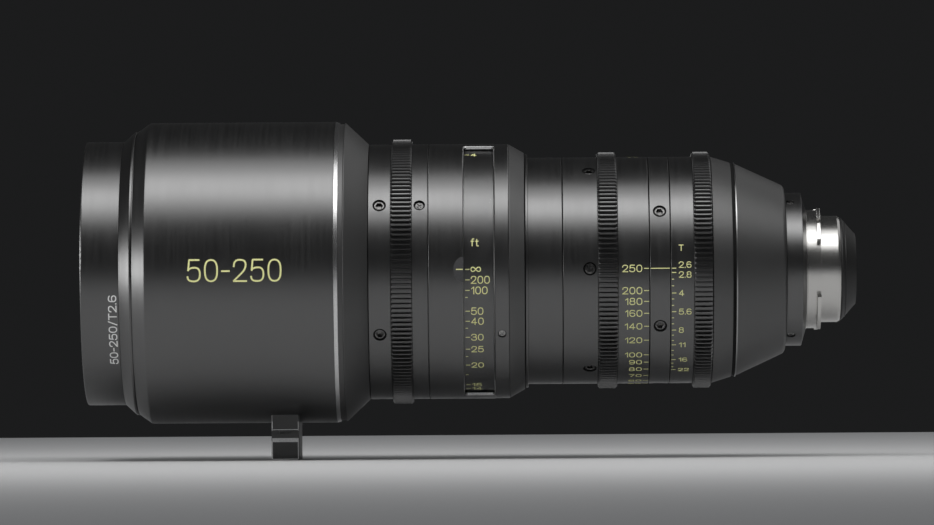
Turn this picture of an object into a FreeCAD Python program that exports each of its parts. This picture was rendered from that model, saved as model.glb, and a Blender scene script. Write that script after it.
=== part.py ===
import FreeCAD, Part
import math
import os

# Cinema zoom lens: millimetres, +Z up, +X towards the camera body, the front glass towards -X.
# The origin is on the optical axis, on the seat of the mount's four lugs.
# Angles round the axis are degrees: 0 is the index side (-Y), 90 is the top (+Z).

V = FreeCAD.Vector
origin = V(0, 0, 0)
axis = V(1, 0, 0)

# Fits
run_fit = 0.05            # radial clearance of a ring or cell that turns or slides on a barrel
pin_fit = 0.1             # clearance each side of a pin in its slot
ring_gap = 0.3            # axial gap beside a turning ring
seam = 0.4                # open seam between two fixed rings
glass_shim = 0.5          # between a lens's edge and the lip that holds it

# Lens mount: 54 mm bayonet tube
mount_tube_radius = 27.0
mount_tube_length = 10.2
mount_tube_chamfer = 1.3
mount_wall = 2.6
lug_radius = 34.0
lug_thickness = 2.0
lug_span = 39.0
lug_count = 4
index_notch_width = 3.2
index_notch_depth = 2.4
mount_neck_radius = 30.05
mount_neck_length = 7.1   # from the seat to the collar
mount_root_length = 5.0   # part of the neck inside the collar

# Visible rings, as lengths along the axis from the mount to the front
collar_length = 10.6
rear_housing_length = 27.5
rear_cone_length = 10.1
iris_gear_length = 9.1
iris_band_length = 11.8
index_ring_length = 10.2
zoom_scale_length = 15.8
zoom_gear_length = 9.7
zoom_clamp_length = 17.7
mid_sleeve_length = 17.3
mid_flange_length = 1.3
cover_cone_length = 7.9
cover_lock_length = 7.1
scale_cover_length = 33.2
scale_window_length = 16.0
focus_band_length = 8.1
focus_gear_length = 10.4
focus_clamp_length = 11.3
housing_cone_length = 14.8
trim_ring_length = 1.9
front_housing_length = 100.7
step_ring_length = 6.9
front_ring_length = 19.4

# Visible radii: the front ring's is the standard one, and each step is from its neighbour
front_ring_radius = 67.0
front_cone_rise = 5.0     # from the front ring to the foot of the housing's front chamfer
front_edge_round = 0.8
front_lip = 1.3           # how far the front ring reaches in over the edge of the front glass
front_mouth_rise = 6.4    # from the lip to the edge of the front face
front_mouth_bevel = 1.0
step_ring_lip = 1.1
housing_chamfer_rise = 4.5
housing_chamfer_length = 6.4
housing_chamfer_round = 1.5
housing_cone_lip = 2.4    # length of the plain band at the front of the housing's rear cone
housing_cone_recess = 1.2
trim_ring_drop = 0.6
cover_lock_drop = 0.2
focus_ring_step = 2.2
rear_barrel_step = 7.2
cover_cone_rise = 2.5     # height of the cover cone's small end above the rear barrel
mid_flange_rise = 1.8
rear_cone_drop = 3.1
neck_drop = 0.9           # depth of the groove between the two rear cones
neck_length = 1.8
neck_step = 0.6
collar_radius = 38.9
collar_cone_length = 2.3
rear_corner_radius = 3.0
rear_corner_step = 3.4    # how far the rear housing stands over the collar

# Walls
housing_wall = 3.5
front_wall = 4.0
ring_wall = 4.8
rear_ring_wall = 4.6
clamp_wall = 2.4
zoom_clamp_wall = 2.2
barrel_wall = 3.0
helicoid_wall = 3.0
cam_wall = 3.2
guide_wall = 3.0
cover_wall = 1.9
rear_wall = 4.0
edge_round = 0.35

# Gears: 0.8 module, so that a standard drive pinion meshes
gear_module = 0.8
gear_stand = 2.4          # tip height over the ring beside it
gear_end_bevel = 1.0
tooth_tip_share = 0.14
tooth_root_share = 0.36

# Scale window
window_half_span = 77.0

# Screws
socket_head_radius = 2.55
socket_bore_radius = 3.4
socket_key_radius = 1.75
socket_key_depth = 1.8
socket_head_drop = 0.5
cross_head_radius = 2.2
cross_bore_radius = 2.9
cross_slot_width = 0.55
cross_slot_length = 2.4
cross_slot_depth = 0.6
cross_head_drop = 0.9
cross_head_length = 1.6
socket_head_length = 1.3
small_head_radius = 1.7
small_bore_radius = 2.15
small_head_drop = 0.5
screw_hold = 1.6          # how far a screw enters the piece that it holds
small_screw_length = 3.0
collar_screw_offset = 2.6  # from the collar's front face

# Support foot
foot_length = 14.0
foot_half_width = 25.0
foot_height = 18.7        # from the bottom of the housing to the foot's face
foot_front_offset = 19.1  # from the housing's rear edge to the foot
foot_groove_top = 14.9    # height of the groove's upper edge over the foot's face
foot_groove_bottom = 9.1
foot_groove_depth = 1.2
foot_groove_slope = 2.0   # height of the groove's sloping lower side
foot_pocket_length = 6.0
foot_pocket_height = 1.5
foot_pocket_depth = 1.5
foot_edge = 0.8
foot_face_bevel = 0.45
foot_thread_radius = 3.97  # tap drill of the 3/8 inch thread
foot_thread_depth = 12.0

# Travels
focus_turn = 290.0
focus_travel = 20.0
zoom_turn = 95.0
variator_travel = 40.0
compensator_travel = 14.0
iris_turn = 64.0
blade_turn = 30.5

# Front optics
front_glass_rim = 5.5     # wall between the front glass and the front barrel's outside
front_glass_edge = 15.0
front_glass_bulge = 5.5
front_glass_hollow = 2.5
front_seat_depth = 11.6   # from the front face to the glass's seat
front_seat_lip = 2.5
front_barrel_step = 3.0
front_flange_rise = 6.0
front_flange_length = 6.0
main_flange_lap = 18.8    # how far the main barrel reaches forward of the housing's rear cone
main_rim_length = 12.8

# Focus cell
focus_cell_gap = 45.0     # from the front glass's rear edge to the rest place of the cell's flange
focus_flange_length = 6.0
focus_seat_length = 12.0
focus_seat_wall = 3.0
focus_glass_step = 6.5    # how much smaller the focus glass is than the front glass
focus_lip = 3.0
focus_tail_length = 36.0
focus_glass_edge = 16.0
focus_glass_bulge = 3.5
focus_key_width = 6.0
focus_key_height = 2.8
focus_pin_radius = 2.0
focus_pin_stand = 1.4
focus_pin_inset = 6.0     # from the rear end of the focus cell's tail
focus_spigot_length = 5.0
focus_spigot_wall = 1.3
helicoid_groove_depth = 2.0
helicoid_gap = 3.0        # between the focus cell's flange, at rest, and the helicoid
drive_key_radius = 3.0
helicoid_tail = 5.0

# Zoom cells
cell_wall = 4.0
cell_lip = 2.0
cell_glass_inset = 4.0
roller_radius = 2.5
roller_drop = 0.3         # how far a roller stays under the outside of the cam barrel
compensator_length = 20.0
variator_length = 24.0
cell_gap = 6.0
cell_stop_gap = 4.0
guide_lip_length = 4.0
guide_seat_length = 6.0
cam_end_gap = 4.0
zoom_pin_radius = 2.0
zoom_screw_offset = 4.3   # from the front face of the zoom gear
pin_hole_floor = 0.6      # wall left under a pin or screw that doesn't go through
pin_hole_skin = 0.2       # wall left over a pin

# Iris
blade_count = 7
blade_thickness = 0.2
blade_pitch = 0.35
blade_width = 10.7
blade_span = 95.0
blade_ear_radius = 1.75
blade_pin_radius = 0.6
blade_pin_length = 2.0
blade_tail = 8.0
iris_wall = 3.85
iris_plate_thickness = 2.0
iris_plate_gap = 0.15
iris_front_wall = 3.0
iris_skirt_length = 14.6
iris_housing_lap = 3.0    # how far the iris housing reaches behind the cam plate
guide_iris_gap = 10.0
iris_skirt_wall = 3.0
pivot_inset = 12.6
pivot_over_blade = 2.5
iris_pin_radius = 1.5

# Relay cell
relay_flange_length = 5.0
relay_front_radius = 30.0
relay_rear_reach = 13.0
relay_wall = 4.0
relay_front_glass = 12.0
relay_rear_glass = 11.0
relay_rear_lip = 2.9
relay_rear_lip_length = 1.7
relay_taper = 8.0
shroud_radius = 26.0
shroud_end_radius = 18.9
shroud_length = 8.2
shroud_aperture = 15.5

# Stations along the axis, from the mount forward
collar_rear = -mount_neck_length
collar_front = collar_rear - collar_length
rear_housing_front = collar_front - rear_housing_length
rear_cone_front = rear_housing_front - rear_cone_length
iris_gear_rear = rear_cone_front - ring_gap
iris_gear_front = iris_gear_rear - iris_gear_length
iris_band_front = iris_gear_front - iris_band_length
index_ring_rear = iris_band_front - ring_gap
index_ring_front = index_ring_rear - index_ring_length
zoom_scale_rear = index_ring_front - ring_gap
zoom_gear_rear = zoom_scale_rear - zoom_scale_length
zoom_gear_front = zoom_gear_rear - zoom_gear_length
zoom_clamp_front = zoom_gear_front - zoom_clamp_length
mid_sleeve_rear = zoom_clamp_front - ring_gap
mid_flange_rear = mid_sleeve_rear - mid_sleeve_length
mid_flange_front = mid_flange_rear - mid_flange_length
cover_cone_rear = mid_flange_front - seam
cover_cone_front = cover_cone_rear - cover_cone_length
cover_lock_front = cover_cone_front - cover_lock_length
scale_cover_front = cover_lock_front - scale_cover_length
focus_band_rear = scale_cover_front - ring_gap
focus_gear_rear = focus_band_rear - focus_band_length
focus_gear_front = focus_gear_rear - focus_gear_length
focus_clamp_front = focus_gear_front - focus_clamp_length
housing_cone_rear = focus_clamp_front - ring_gap
housing_cone_front = housing_cone_rear - housing_cone_length
trim_ring_front = housing_cone_front - trim_ring_length
front_housing_front = trim_ring_front - front_housing_length
step_ring_front = front_housing_front - step_ring_length
front_face = step_ring_front - front_ring_length

# Radii that follow
housing_foot_radius = front_ring_radius + front_cone_rise
housing_radius = housing_foot_radius + housing_chamfer_rise
housing_bore = housing_radius - housing_wall
focus_radius = front_ring_radius - focus_ring_step
rear_radius = focus_radius - rear_barrel_step
focus_bore = focus_radius - ring_wall
focus_seat = focus_radius - clamp_wall
zoom_bore = rear_radius - rear_ring_wall
zoom_seat = rear_radius - zoom_clamp_wall
barrel_front_radius = focus_bore - run_fit
barrel_front_bore = barrel_front_radius - barrel_wall
barrel_rear_radius = zoom_bore - run_fit
barrel_rear_bore = barrel_rear_radius - barrel_wall
helicoid_radius = barrel_front_bore - run_fit
helicoid_bore = helicoid_radius - helicoid_wall
focus_tail_radius = helicoid_bore - run_fit
cam_radius = barrel_rear_bore - run_fit
cam_bore = cam_radius - cam_wall
guide_radius = cam_bore - run_fit
guide_bore = guide_radius - guide_wall
cell_radius = guide_bore - run_fit
front_barrel_radius = front_ring_radius - front_barrel_step
front_barrel_bore = front_barrel_radius - barrel_wall
front_glass_radius = front_barrel_radius - front_glass_rim
scale_cover_bore = focus_radius - cover_wall
scale_ring_radius = scale_cover_bore - ring_gap
mount_bore = mount_tube_radius - mount_wall

# Places inside that follow
main_front = housing_cone_front - main_flange_lap
barrel_step = (cover_cone_front + cover_cone_rear) / 2 + 1
front_seat = front_face + front_seat_depth
front_seat_rear = front_seat + glass_shim + front_glass_edge
cell_flange_rear = front_seat_rear + focus_cell_gap
drive_key_x = (focus_clamp_front + focus_gear_front) / 2
helicoid_rear = drive_key_x + helicoid_tail
helicoid_front = cell_flange_rear + helicoid_gap
focus_tail_rear = cell_flange_rear + focus_tail_length
focus_pin_x = focus_tail_rear - focus_pin_inset
iris_pin_x = (iris_band_front + iris_gear_front) / 2
iris_skirt_rear = iris_pin_x + 2 * iris_pin_radius
iris_plate_rear = iris_skirt_rear - iris_skirt_length
iris_plate_front = iris_plate_rear - iris_plate_thickness
blade_stack_front = iris_plate_front - iris_plate_gap - blade_count * blade_pitch
iris_wall_rear = blade_stack_front - iris_plate_gap
iris_wall_front = iris_wall_rear - iris_front_wall
guide_rear = iris_wall_front - guide_iris_gap
iris_housing_front = guide_rear - guide_seat_length
iris_housing_rear = iris_plate_rear + iris_housing_lap
cam_rear = iris_housing_front - ring_gap
zoom_pin_x = cam_rear - cam_end_gap
compensator_rear = iris_housing_front - cell_stop_gap - compensator_travel
compensator_front = compensator_rear - compensator_length
compensator_x = (compensator_rear + compensator_front) / 2
variator_rear = compensator_front - cell_gap
variator_front = variator_rear - variator_length
variator_x = (variator_rear + variator_front) / 2
guide_tube_front = variator_front - variator_travel - cell_stop_gap
guide_front = guide_tube_front - guide_lip_length
cam_front = guide_tube_front + ring_gap
iris_bore = barrel_rear_bore - iris_wall
iris_plate_radius = iris_bore - run_fit
pivot_radius = iris_bore - pivot_inset
blade_outer = pivot_radius - pivot_over_blade
blade_inner = blade_outer - blade_width
relay_front = iris_skirt_rear + ring_gap
foot_front = trim_ring_front - foot_front_offset - foot_length
foot_x = foot_front + foot_length / 2
foot_bottom = -housing_radius - foot_height
relay_lip_front = relay_rear_reach - relay_rear_lip - relay_rear_lip_length
relay_waist = collar_front - rear_wall - 2
spigot_rear = focus_band_rear + focus_spigot_length
spigot_radius = focus_bore + focus_spigot_wall
lock_radius = focus_radius - cover_lock_drop
focus_glass_radius = front_glass_radius - focus_glass_step
focus_tail_bore = focus_tail_radius - barrel_wall
zoom_glass_radius = cell_radius - cell_wall
shroud_rear = mount_tube_length + shroud_length

# Places of the screws along the axis
lock_screw_x = (cover_lock_front + cover_cone_front) / 2
collar_screw_x = collar_front + collar_screw_offset
index_screw_x = (index_ring_front + index_ring_rear) / 2
stop_screw_x = (focus_band_rear + focus_gear_rear) / 2
zoom_screw_x = zoom_gear_front - zoom_screw_offset


def spin(shape, angle):
    """A copy of a shape built over +Z, carried round the axis to an angle."""
    carried = shape.copy()
    carried.rotate(origin, axis, 90 - angle)
    return carried


def around(shape, count, first=0.0):
    """Copies of a shape built over +Z, evenly spaced round the axis."""
    return [spin(shape, first + 360.0 * k / count) for k in range(count)]


def rounded_wire(corners, place):
    """A closed wire through (a, b) corners; a third value rounds that corner by that radius."""
    count = len(corners)
    starts, ends, edges = [], [], []
    for k, corner in enumerate(corners):
        point = place(corner[0], corner[1])
        if len(corner) < 3:
            starts.append(point)
            ends.append(point)
            continue
        before = corners[k - 1]
        after = corners[(k + 1) % count]
        to_before = (place(before[0], before[1]) - point).normalize()
        to_after = (place(after[0], after[1]) - point).normalize()
        half = to_before.getAngle(to_after) / 2
        reach = corner[2] / math.tan(half)
        middle = (to_before + to_after).normalize() * (corner[2] / math.sin(half) - corner[2])
        starts.append(point + to_before * reach)
        ends.append(point + to_after * reach)
        edges.append(Part.Arc(starts[-1], point + middle, ends[-1]).toShape())
    for k in range(count):
        if ends[k - 1].distanceToPoint(starts[k]) > 1e-6:
            edges.append(Part.makeLine(ends[k - 1], starts[k]))
    return Part.Wire(Part.__sortEdges__(edges))


def turned(corners, centre=90.0, span=360.0):
    """A solid turned about the axis from (x, radius) corners, whole or over a span of degrees."""
    face = Part.Face(rounded_wire(corners, lambda x, r: V(x, 0, r)))
    solid = face.revolve(origin, axis, span)
    return spin(solid, centre + span / 2) if span < 360 else solid


def tube(front, rear, bore, radius):
    return turned([(front, bore), (front, radius), (rear, radius), (rear, bore)])


def ring(front, rear, bore, radius, edge=edge_round):
    """A tube with softened outer edges."""
    return turned([(front, bore), (front, radius, edge), (rear, radius, edge), (rear, bore)])


def post(x, radius, low, high):
    """A round pin that points away from the axis, over +Z."""
    return Part.makeCylinder(radius, high - low, V(x, 0, low), V(0, 0, 1))


def sphere_middle(edge_x, bulge, radius, side):
    """The point half-way out along a lens face of a given bulge."""
    curve = (radius ** 2 + bulge ** 2) / (2 * abs(bulge))
    fall = curve - math.sqrt(curve ** 2 - radius ** 2 / 4)
    vertex = edge_x + side * bulge
    return V(vertex - side * math.copysign(fall, bulge), 0, radius / 2)


def lens_element(front, rear, radius, front_bulge, rear_bulge):
    """A lens with spherical faces; a negative bulge is hollow."""
    front_edge, rear_edge = V(front, 0, radius), V(rear, 0, radius)
    front_vertex, rear_vertex = V(front - front_bulge, 0, 0), V(rear + rear_bulge, 0, 0)
    edges = [
        Part.Arc(front_vertex, sphere_middle(front, front_bulge, radius, -1), front_edge).toShape(),
        Part.makeLine(front_edge, rear_edge),
        Part.Arc(rear_edge, sphere_middle(rear, rear_bulge, radius, 1), rear_vertex).toShape(),
        Part.makeLine(rear_vertex, front_vertex)]
    return Part.Face(Part.Wire(edges)).revolve(origin, axis, 360)


def hexagon(x, radius, low, high):
    points = [V(x + radius * math.cos(math.radians(60 * k)), radius * math.sin(math.radians(60 * k)), low)
              for k in range(6)]
    return Part.Face(Part.makePolygon(points + points[:1])).extrude(V(0, 0, high - low))


def socket_screw(x, surface, bottom):
    """A screw with a hex socket, its head just under the surface, down to a radius."""
    top = surface - socket_head_drop
    body = post(x, socket_head_radius, bottom, top)
    return body.cut(hexagon(x, socket_key_radius, top - socket_key_depth, top))


def cross_screw(x, surface, bottom, radius=cross_head_radius, drop=cross_head_drop):
    """A small screw with a cross recess, its head under the surface."""
    top = surface - drop
    half, low = cross_slot_length / 2, top - cross_slot_depth
    along = Part.makeBox(cross_slot_length, cross_slot_width, cross_slot_depth,
                         V(x - half, -cross_slot_width / 2, low))
    across = Part.makeBox(cross_slot_width, cross_slot_length, cross_slot_depth,
                          V(x - cross_slot_width / 2, -half, low))
    return post(x, radius, bottom, top).cut([along, across])


def screw_seat(x, surface, bottom, head_radius, bore_radius, head_length):
    """What a screw needs cut away: a wider mouth round its head, and a hole of its own size."""
    return [post(x, head_radius, bottom, surface + 1),
            post(x, bore_radius, surface - head_length, surface + 1)]


def stadium(front, rear, half_width, low, high):
    """A straight slot along the axis with round ends, over +Z."""
    front_right, front_left = V(front, -half_width, low), V(front, half_width, low)
    rear_right, rear_left = V(rear, -half_width, low), V(rear, half_width, low)
    edges = [Part.makeLine(front_right, rear_right),
             Part.Arc(rear_right, V(rear + half_width, 0, low), rear_left).toShape(),
             Part.makeLine(rear_left, front_left),
             Part.Arc(front_left, V(front - half_width, 0, low), front_right).toShape()]
    return Part.Face(Part.Wire(edges)).extrude(V(0, 0, high - low))


def helical_slot(start, travel, turn, half_width, low, high, middle):
    """A slot that climbs along the axis as it goes round; it runs past both ends by half its width."""
    way_round = math.radians(turn) * middle
    reach = half_width * math.hypot(travel, way_round) / way_round
    past = half_width / way_round
    steps = int(math.ceil(turn / 12))
    sections = []
    for k in range(steps + 1):
        share = -past + (1 + 2 * past) * k / steps
        x = start + travel * share
        corners = [V(x - reach, 0, low), V(x + reach, 0, low), V(x + reach, 0, high), V(x - reach, 0, high)]
        sections.append(spin(Part.makePolygon(corners + corners[:1]), 90 - turn * share))
    return Part.makeLoft(sections, True, False)


def arc_slot(x, half_width, low, high, rest_angle, turn):
    """A slot round a barrel in which a pin travels from its rest angle."""
    margin = math.degrees(half_width / low)
    front, rear = x - half_width, x + half_width
    return turned([(front, low), (front, high), (rear, high), (rear, low)],
                  rest_angle + turn / 2, turn + 2 * margin)


def gear_ring(front, rear, beside, bore):
    """A toothed ring: straight-sided teeth, bevelled at both ends."""
    teeth = int(round(2 * (beside + gear_stand) / gear_module)) - 2
    tip = gear_module * (teeth + 2) / 2
    root = tip - 2.25 * gear_module
    points = []
    for k in range(teeth):
        for share, radius in ((-tooth_root_share, root), (-tooth_tip_share, tip),
                              (tooth_tip_share, tip), (tooth_root_share, root)):
            turn = 2 * math.pi * (k + share) / teeth
            points.append(V(front, -radius * math.cos(turn), radius * math.sin(turn)))
    hole = Part.Wire([Part.makeCircle(bore, V(front, 0, 0), axis)])
    toothed = Part.Face([Part.makePolygon(points + points[:1]), hole])
    toothed = toothed.extrude(V(rear - front, 0, 0))
    low, high = tip - gear_end_bevel, tip + 1
    reach = gear_end_bevel + 1
    ends = [turned([(front, low), (front, high), (front + reach, high)]),
            turned([(rear, low), (rear, high), (rear - reach, high)])]
    return toothed.cut(ends)


def front_ring():
    clear = front_glass_radius - front_lip
    mouth = clear + front_mouth_rise
    return turned([(front_face, mouth), (front_face, front_ring_radius, front_edge_round),
                   (step_ring_front, front_ring_radius, edge_round), (step_ring_front, front_barrel_radius),
                   (front_seat, front_barrel_radius), (front_seat, clear),
                   (front_face + front_mouth_bevel, mouth - front_mouth_bevel)])


def front_step_ring():
    top = housing_foot_radius
    gap = front_housing_front - seam
    under = top - step_ring_lip
    return turned([(step_ring_front, front_barrel_radius), (step_ring_front, front_ring_radius),
                   (gap - step_ring_lip, top), (gap, top, edge_round), (gap, under),
                   (front_housing_front, under), (front_housing_front, front_barrel_radius)])


def front_housing():
    shoulder = front_housing_front + housing_chamfer_length
    inside = front_housing_front + front_wall
    return turned([(front_housing_front, front_barrel_radius), (front_housing_front, housing_foot_radius),
                   (shoulder, housing_radius, housing_chamfer_round),
                   (trim_ring_front, housing_radius, edge_round), (trim_ring_front, housing_bore),
                   (shoulder + housing_wall, housing_bore),
                   (inside, housing_bore - front_wall), (inside, front_barrel_radius)])


def housing_trim_ring():
    return turned([(trim_ring_front, housing_bore), (trim_ring_front, housing_radius),
                   (housing_cone_front, housing_radius - trim_ring_drop), (housing_cone_front, housing_bore)])


def housing_rear_cone():
    band = housing_radius - housing_cone_recess
    lip = housing_cone_front + housing_cone_lip
    hub = housing_cone_rear - front_wall
    inside = housing_bore - 2 * housing_wall
    return turned([(housing_cone_front, inside), (housing_cone_front, band), (lip, band),
                   (lip + seam, housing_radius - seam, edge_round), (housing_cone_rear, focus_radius),
                   (housing_cone_rear, barrel_front_radius), (hub, barrel_front_radius),
                   (hub, focus_radius - 1), (lip, inside)])


def foot_outline(width):
    """Half of the foot's section, as (y, z) corners with the groove."""
    top = foot_bottom + foot_groove_top
    low = foot_bottom + foot_groove_bottom
    floor = width - foot_groove_depth
    return [(width, -housing_radius / 2), (width, top + foot_face_bevel), (width - foot_face_bevel, top),
            (floor, top), (floor, low + foot_groove_slope), (width, low),
            (width, foot_bottom + foot_face_bevel), (width - foot_face_bevel, foot_bottom)]


def support_foot():
    """A block that hangs from the housing, hollowed to fit it, with a groove along both sides."""
    right = foot_outline(foot_half_width)
    left = [(-corner[0],) + corner[1:] for corner in reversed(right)]
    face = Part.Face(rounded_wire(right + left, lambda y, z: V(foot_front, y, z)))
    block = face.extrude(V(foot_length, 0, 0))
    pocket_low = foot_bottom + foot_groove_top - foot_pocket_height
    cuts = [Part.makeCylinder(housing_radius, foot_length, V(foot_front, 0, 0), axis),
            Part.makeCylinder(foot_thread_radius, foot_thread_depth, V(foot_x, 0, foot_bottom), V(0, 0, 1))]
    for side in (-1, 1):
        floor = side * (foot_half_width - foot_groove_depth)
        cuts.append(Part.makeBox(foot_pocket_length, 2 * foot_pocket_depth, foot_pocket_height,
                                 V(foot_x - foot_pocket_length / 2, floor - foot_pocket_depth, pocket_low)))
        for x in (foot_front, foot_front + foot_length):
            edge = Part.makeBox(foot_edge, foot_edge, -foot_bottom,
                                V(-foot_edge / 2, -foot_edge / 2, foot_bottom))
            edge.rotate(origin, V(0, 0, 1), 45)
            edge.translate(V(x, side * foot_half_width, 0))
            cuts.append(edge)
    solid = block.cut(cuts)
    return max(solid.Solids, key=lambda piece: piece.Volume)


def front_barrel():
    """The tube that carries the front glass, with three keys that keep the focus cell from turning."""
    lip = front_glass_radius - front_seat_lip
    lip_rear = front_seat_rear + front_seat_lip
    flange_front = main_front - front_flange_length
    flange = front_barrel_radius + front_flange_rise
    body = turned([(front_seat, front_glass_radius), (front_seat, front_barrel_radius),
                   (flange_front, front_barrel_radius), (flange_front, flange),
                   (main_front, flange), (main_front, front_barrel_bore),
                   (lip_rear, front_barrel_bore), (lip_rear, lip),
                   (front_seat_rear, lip), (front_seat_rear, front_glass_radius)])
    key_front = cell_flange_rear - focus_flange_length - focus_travel - focus_key_width / 2
    key_rear = cell_flange_rear + focus_key_width / 4
    key = Part.makeBox(key_rear - key_front, focus_key_width, focus_key_height + barrel_wall / 2,
                       V(key_front, -focus_key_width / 2, front_barrel_bore - focus_key_height))
    return body.fuse(around(key, 3, 90))


def front_glass():
    return lens_element(front_seat + glass_shim, front_seat_rear, front_glass_radius,
                        front_glass_bulge, -front_glass_hollow)


def main_barrel():
    """The stepped tube that every ring turns on, with slots for the three drive pins."""
    rim = housing_bore - front_wall
    body = turned([(main_front, barrel_front_bore), (main_front, housing_bore),
                   (housing_cone_front, housing_bore),
                   (housing_cone_front, rim), (housing_cone_front - main_rim_length, rim),
                   (housing_cone_front - main_rim_length, barrel_front_radius),
                   (barrel_step, barrel_front_radius), (barrel_step, barrel_rear_radius),
                   (rear_housing_front, barrel_rear_radius), (rear_housing_front, barrel_rear_bore),
                   (barrel_step - barrel_wall, barrel_rear_bore),
                   (barrel_step - barrel_wall, barrel_front_bore)])
    slots = [arc_slot(drive_key_x, drive_key_radius + pin_fit, barrel_front_bore - 1, barrel_front_radius + 1,
                      90 - focus_turn / 2, focus_turn),
             arc_slot(zoom_pin_x, zoom_pin_radius + pin_fit, barrel_rear_bore - 1, barrel_rear_radius + 1,
                      0, zoom_turn),
             arc_slot(iris_pin_x, iris_pin_radius + pin_fit, barrel_rear_bore - 1, barrel_rear_radius + 1,
                      0, iris_turn)]
    return body.cut(slots)


def scale_cover():
    """The fixed sleeve over the focus scale, open on the index side where the window is."""
    body = ring(scale_cover_front, cover_lock_front, scale_cover_bore, focus_radius)
    front = cover_lock_front - scale_window_length
    opening = turned([(front, scale_cover_bore - 1), (front, focus_radius + 1),
                      (cover_lock_front + 1, focus_radius + 1), (cover_lock_front + 1, scale_cover_bore - 1)],
                     0, 2 * window_half_span)
    return body.cut(opening)


def scale_window():
    front = cover_lock_front - scale_window_length
    top = focus_radius - 0.1
    return turned([(front, scale_cover_bore), (front, top), (cover_lock_front, top),
                   (cover_lock_front, scale_cover_bore)], 0, 2 * window_half_span)


def cover_lock_ring():
    body = ring(cover_lock_front, cover_cone_front, barrel_front_radius, lock_radius)
    seat = screw_seat(lock_screw_x, lock_radius, lock_radius - small_screw_length,
                      small_head_radius, small_bore_radius, cross_head_length)
    return body.cut([piece for cut in seat for piece in around(cut, 3, -30)])


def mount_collar():
    top = collar_rear - collar_cone_length
    root = collar_rear - mount_root_length
    body = turned([(collar_front, mount_tube_radius), (collar_front, collar_radius, edge_round),
                   (top, collar_radius, 0.3), (collar_rear, mount_neck_radius + 1),
                   (collar_rear, mount_neck_radius), (root, mount_neck_radius), (root, mount_tube_radius)])
    seat = screw_seat(collar_screw_x, collar_radius, collar_radius - small_screw_length,
                      small_head_radius, small_bore_radius, cross_head_length)
    return body.cut([piece for cut in seat for piece in around(cut, 3, 60)])


def small_cross_screws():
    lock = cross_screw(lock_screw_x, lock_radius, lock_radius - small_screw_length,
                       small_head_radius, small_head_drop)
    collar = cross_screw(collar_screw_x, collar_radius, collar_radius - small_screw_length,
                         small_head_radius, small_head_drop)
    return around(lock, 3, -30) + around(collar, 3, 60)


def cover_cone():
    small = rear_radius + cover_cone_rise
    return turned([(cover_cone_front, barrel_front_radius), (cover_cone_front, lock_radius, edge_round),
                   (cover_cone_rear, small, edge_round), (cover_cone_rear, barrel_rear_radius),
                   (barrel_step, barrel_rear_radius), (barrel_step, barrel_front_radius)])


def mid_sleeve():
    flange = rear_radius + mid_flange_rise
    return turned([(mid_flange_front, barrel_rear_radius), (mid_flange_front, flange, edge_round),
                   (mid_flange_rear, flange, edge_round), (mid_flange_rear, rear_radius),
                   (mid_sleeve_rear, rear_radius, edge_round), (mid_sleeve_rear, barrel_rear_radius)])


def index_ring():
    body = ring(index_ring_front, index_ring_rear, barrel_rear_radius, rear_radius)
    seat = screw_seat(index_screw_x, rear_radius, barrel_rear_radius - 1,
                      socket_head_radius, socket_bore_radius, socket_head_length)
    return body.cut([piece for cut in seat for piece in around(cut, 6, 30)])


def index_ring_screws():
    return around(socket_screw(index_screw_x, rear_radius, barrel_rear_radius + run_fit), 6, 30)


def rear_cone_ring():
    small = rear_radius - rear_cone_drop
    return turned([(rear_cone_front, barrel_rear_radius), (rear_cone_front, rear_radius, edge_round),
                   (rear_housing_front, small, edge_round), (rear_housing_front, barrel_rear_radius)])


def rear_housing():
    neck = rear_radius - rear_cone_drop - neck_drop
    neck_rear = rear_housing_front + neck_length
    spigot = barrel_rear_bore - barrel_wall
    spigot_front = rear_housing_front - 2 * neck_length
    inside = collar_front - rear_wall
    corner = collar_radius + rear_corner_step
    return turned([(spigot_front, spigot), (spigot_front, barrel_rear_bore),
                   (rear_housing_front, barrel_rear_bore), (rear_housing_front, neck), (neck_rear, neck),
                   (neck_rear, neck + neck_step, edge_round), (collar_front, corner, rear_corner_radius),
                   (collar_front, mount_tube_radius), (inside, mount_tube_radius),
                   (inside, corner - rear_wall), (neck_rear, spigot)])


def lens_mount():
    """The bayonet: a neck, a tube, and lugs of which one has the index notch."""
    root = collar_rear - mount_root_length
    straight = mount_tube_length - mount_tube_chamfer
    body = turned([(root, mount_bore), (root, mount_neck_radius), (0, mount_neck_radius),
                   (0, mount_tube_radius), (straight, mount_tube_radius),
                   (mount_tube_length, mount_tube_radius - 0.7), (mount_tube_length, mount_bore)])
    lug = [(-lug_thickness, mount_bore + 1), (-lug_thickness, lug_radius, 0.3), (0, lug_radius, 0.3),
           (0, mount_bore + 1)]
    lugs = [turned(lug, 45 + 360.0 * k / lug_count, lug_span) for k in range(lug_count)]
    notch = Part.makeBox(lug_thickness + 2, index_notch_width, index_notch_depth + 1,
                         V(-lug_thickness - 1, -index_notch_width / 2, lug_radius - index_notch_depth))
    return body.fuse(lugs).cut(spin(notch, 45))


def rear_shroud():
    return turned([(mount_tube_length, mount_bore), (mount_tube_length, shroud_radius, edge_round),
                   (mount_tube_length + 1, shroud_radius), (shroud_rear - 1, shroud_end_radius, 1),
                   (shroud_rear, shroud_end_radius - 1), (shroud_rear, shroud_aperture),
                   (relay_rear_reach, shroud_aperture + 2), (relay_rear_reach, mount_bore)])


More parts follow.
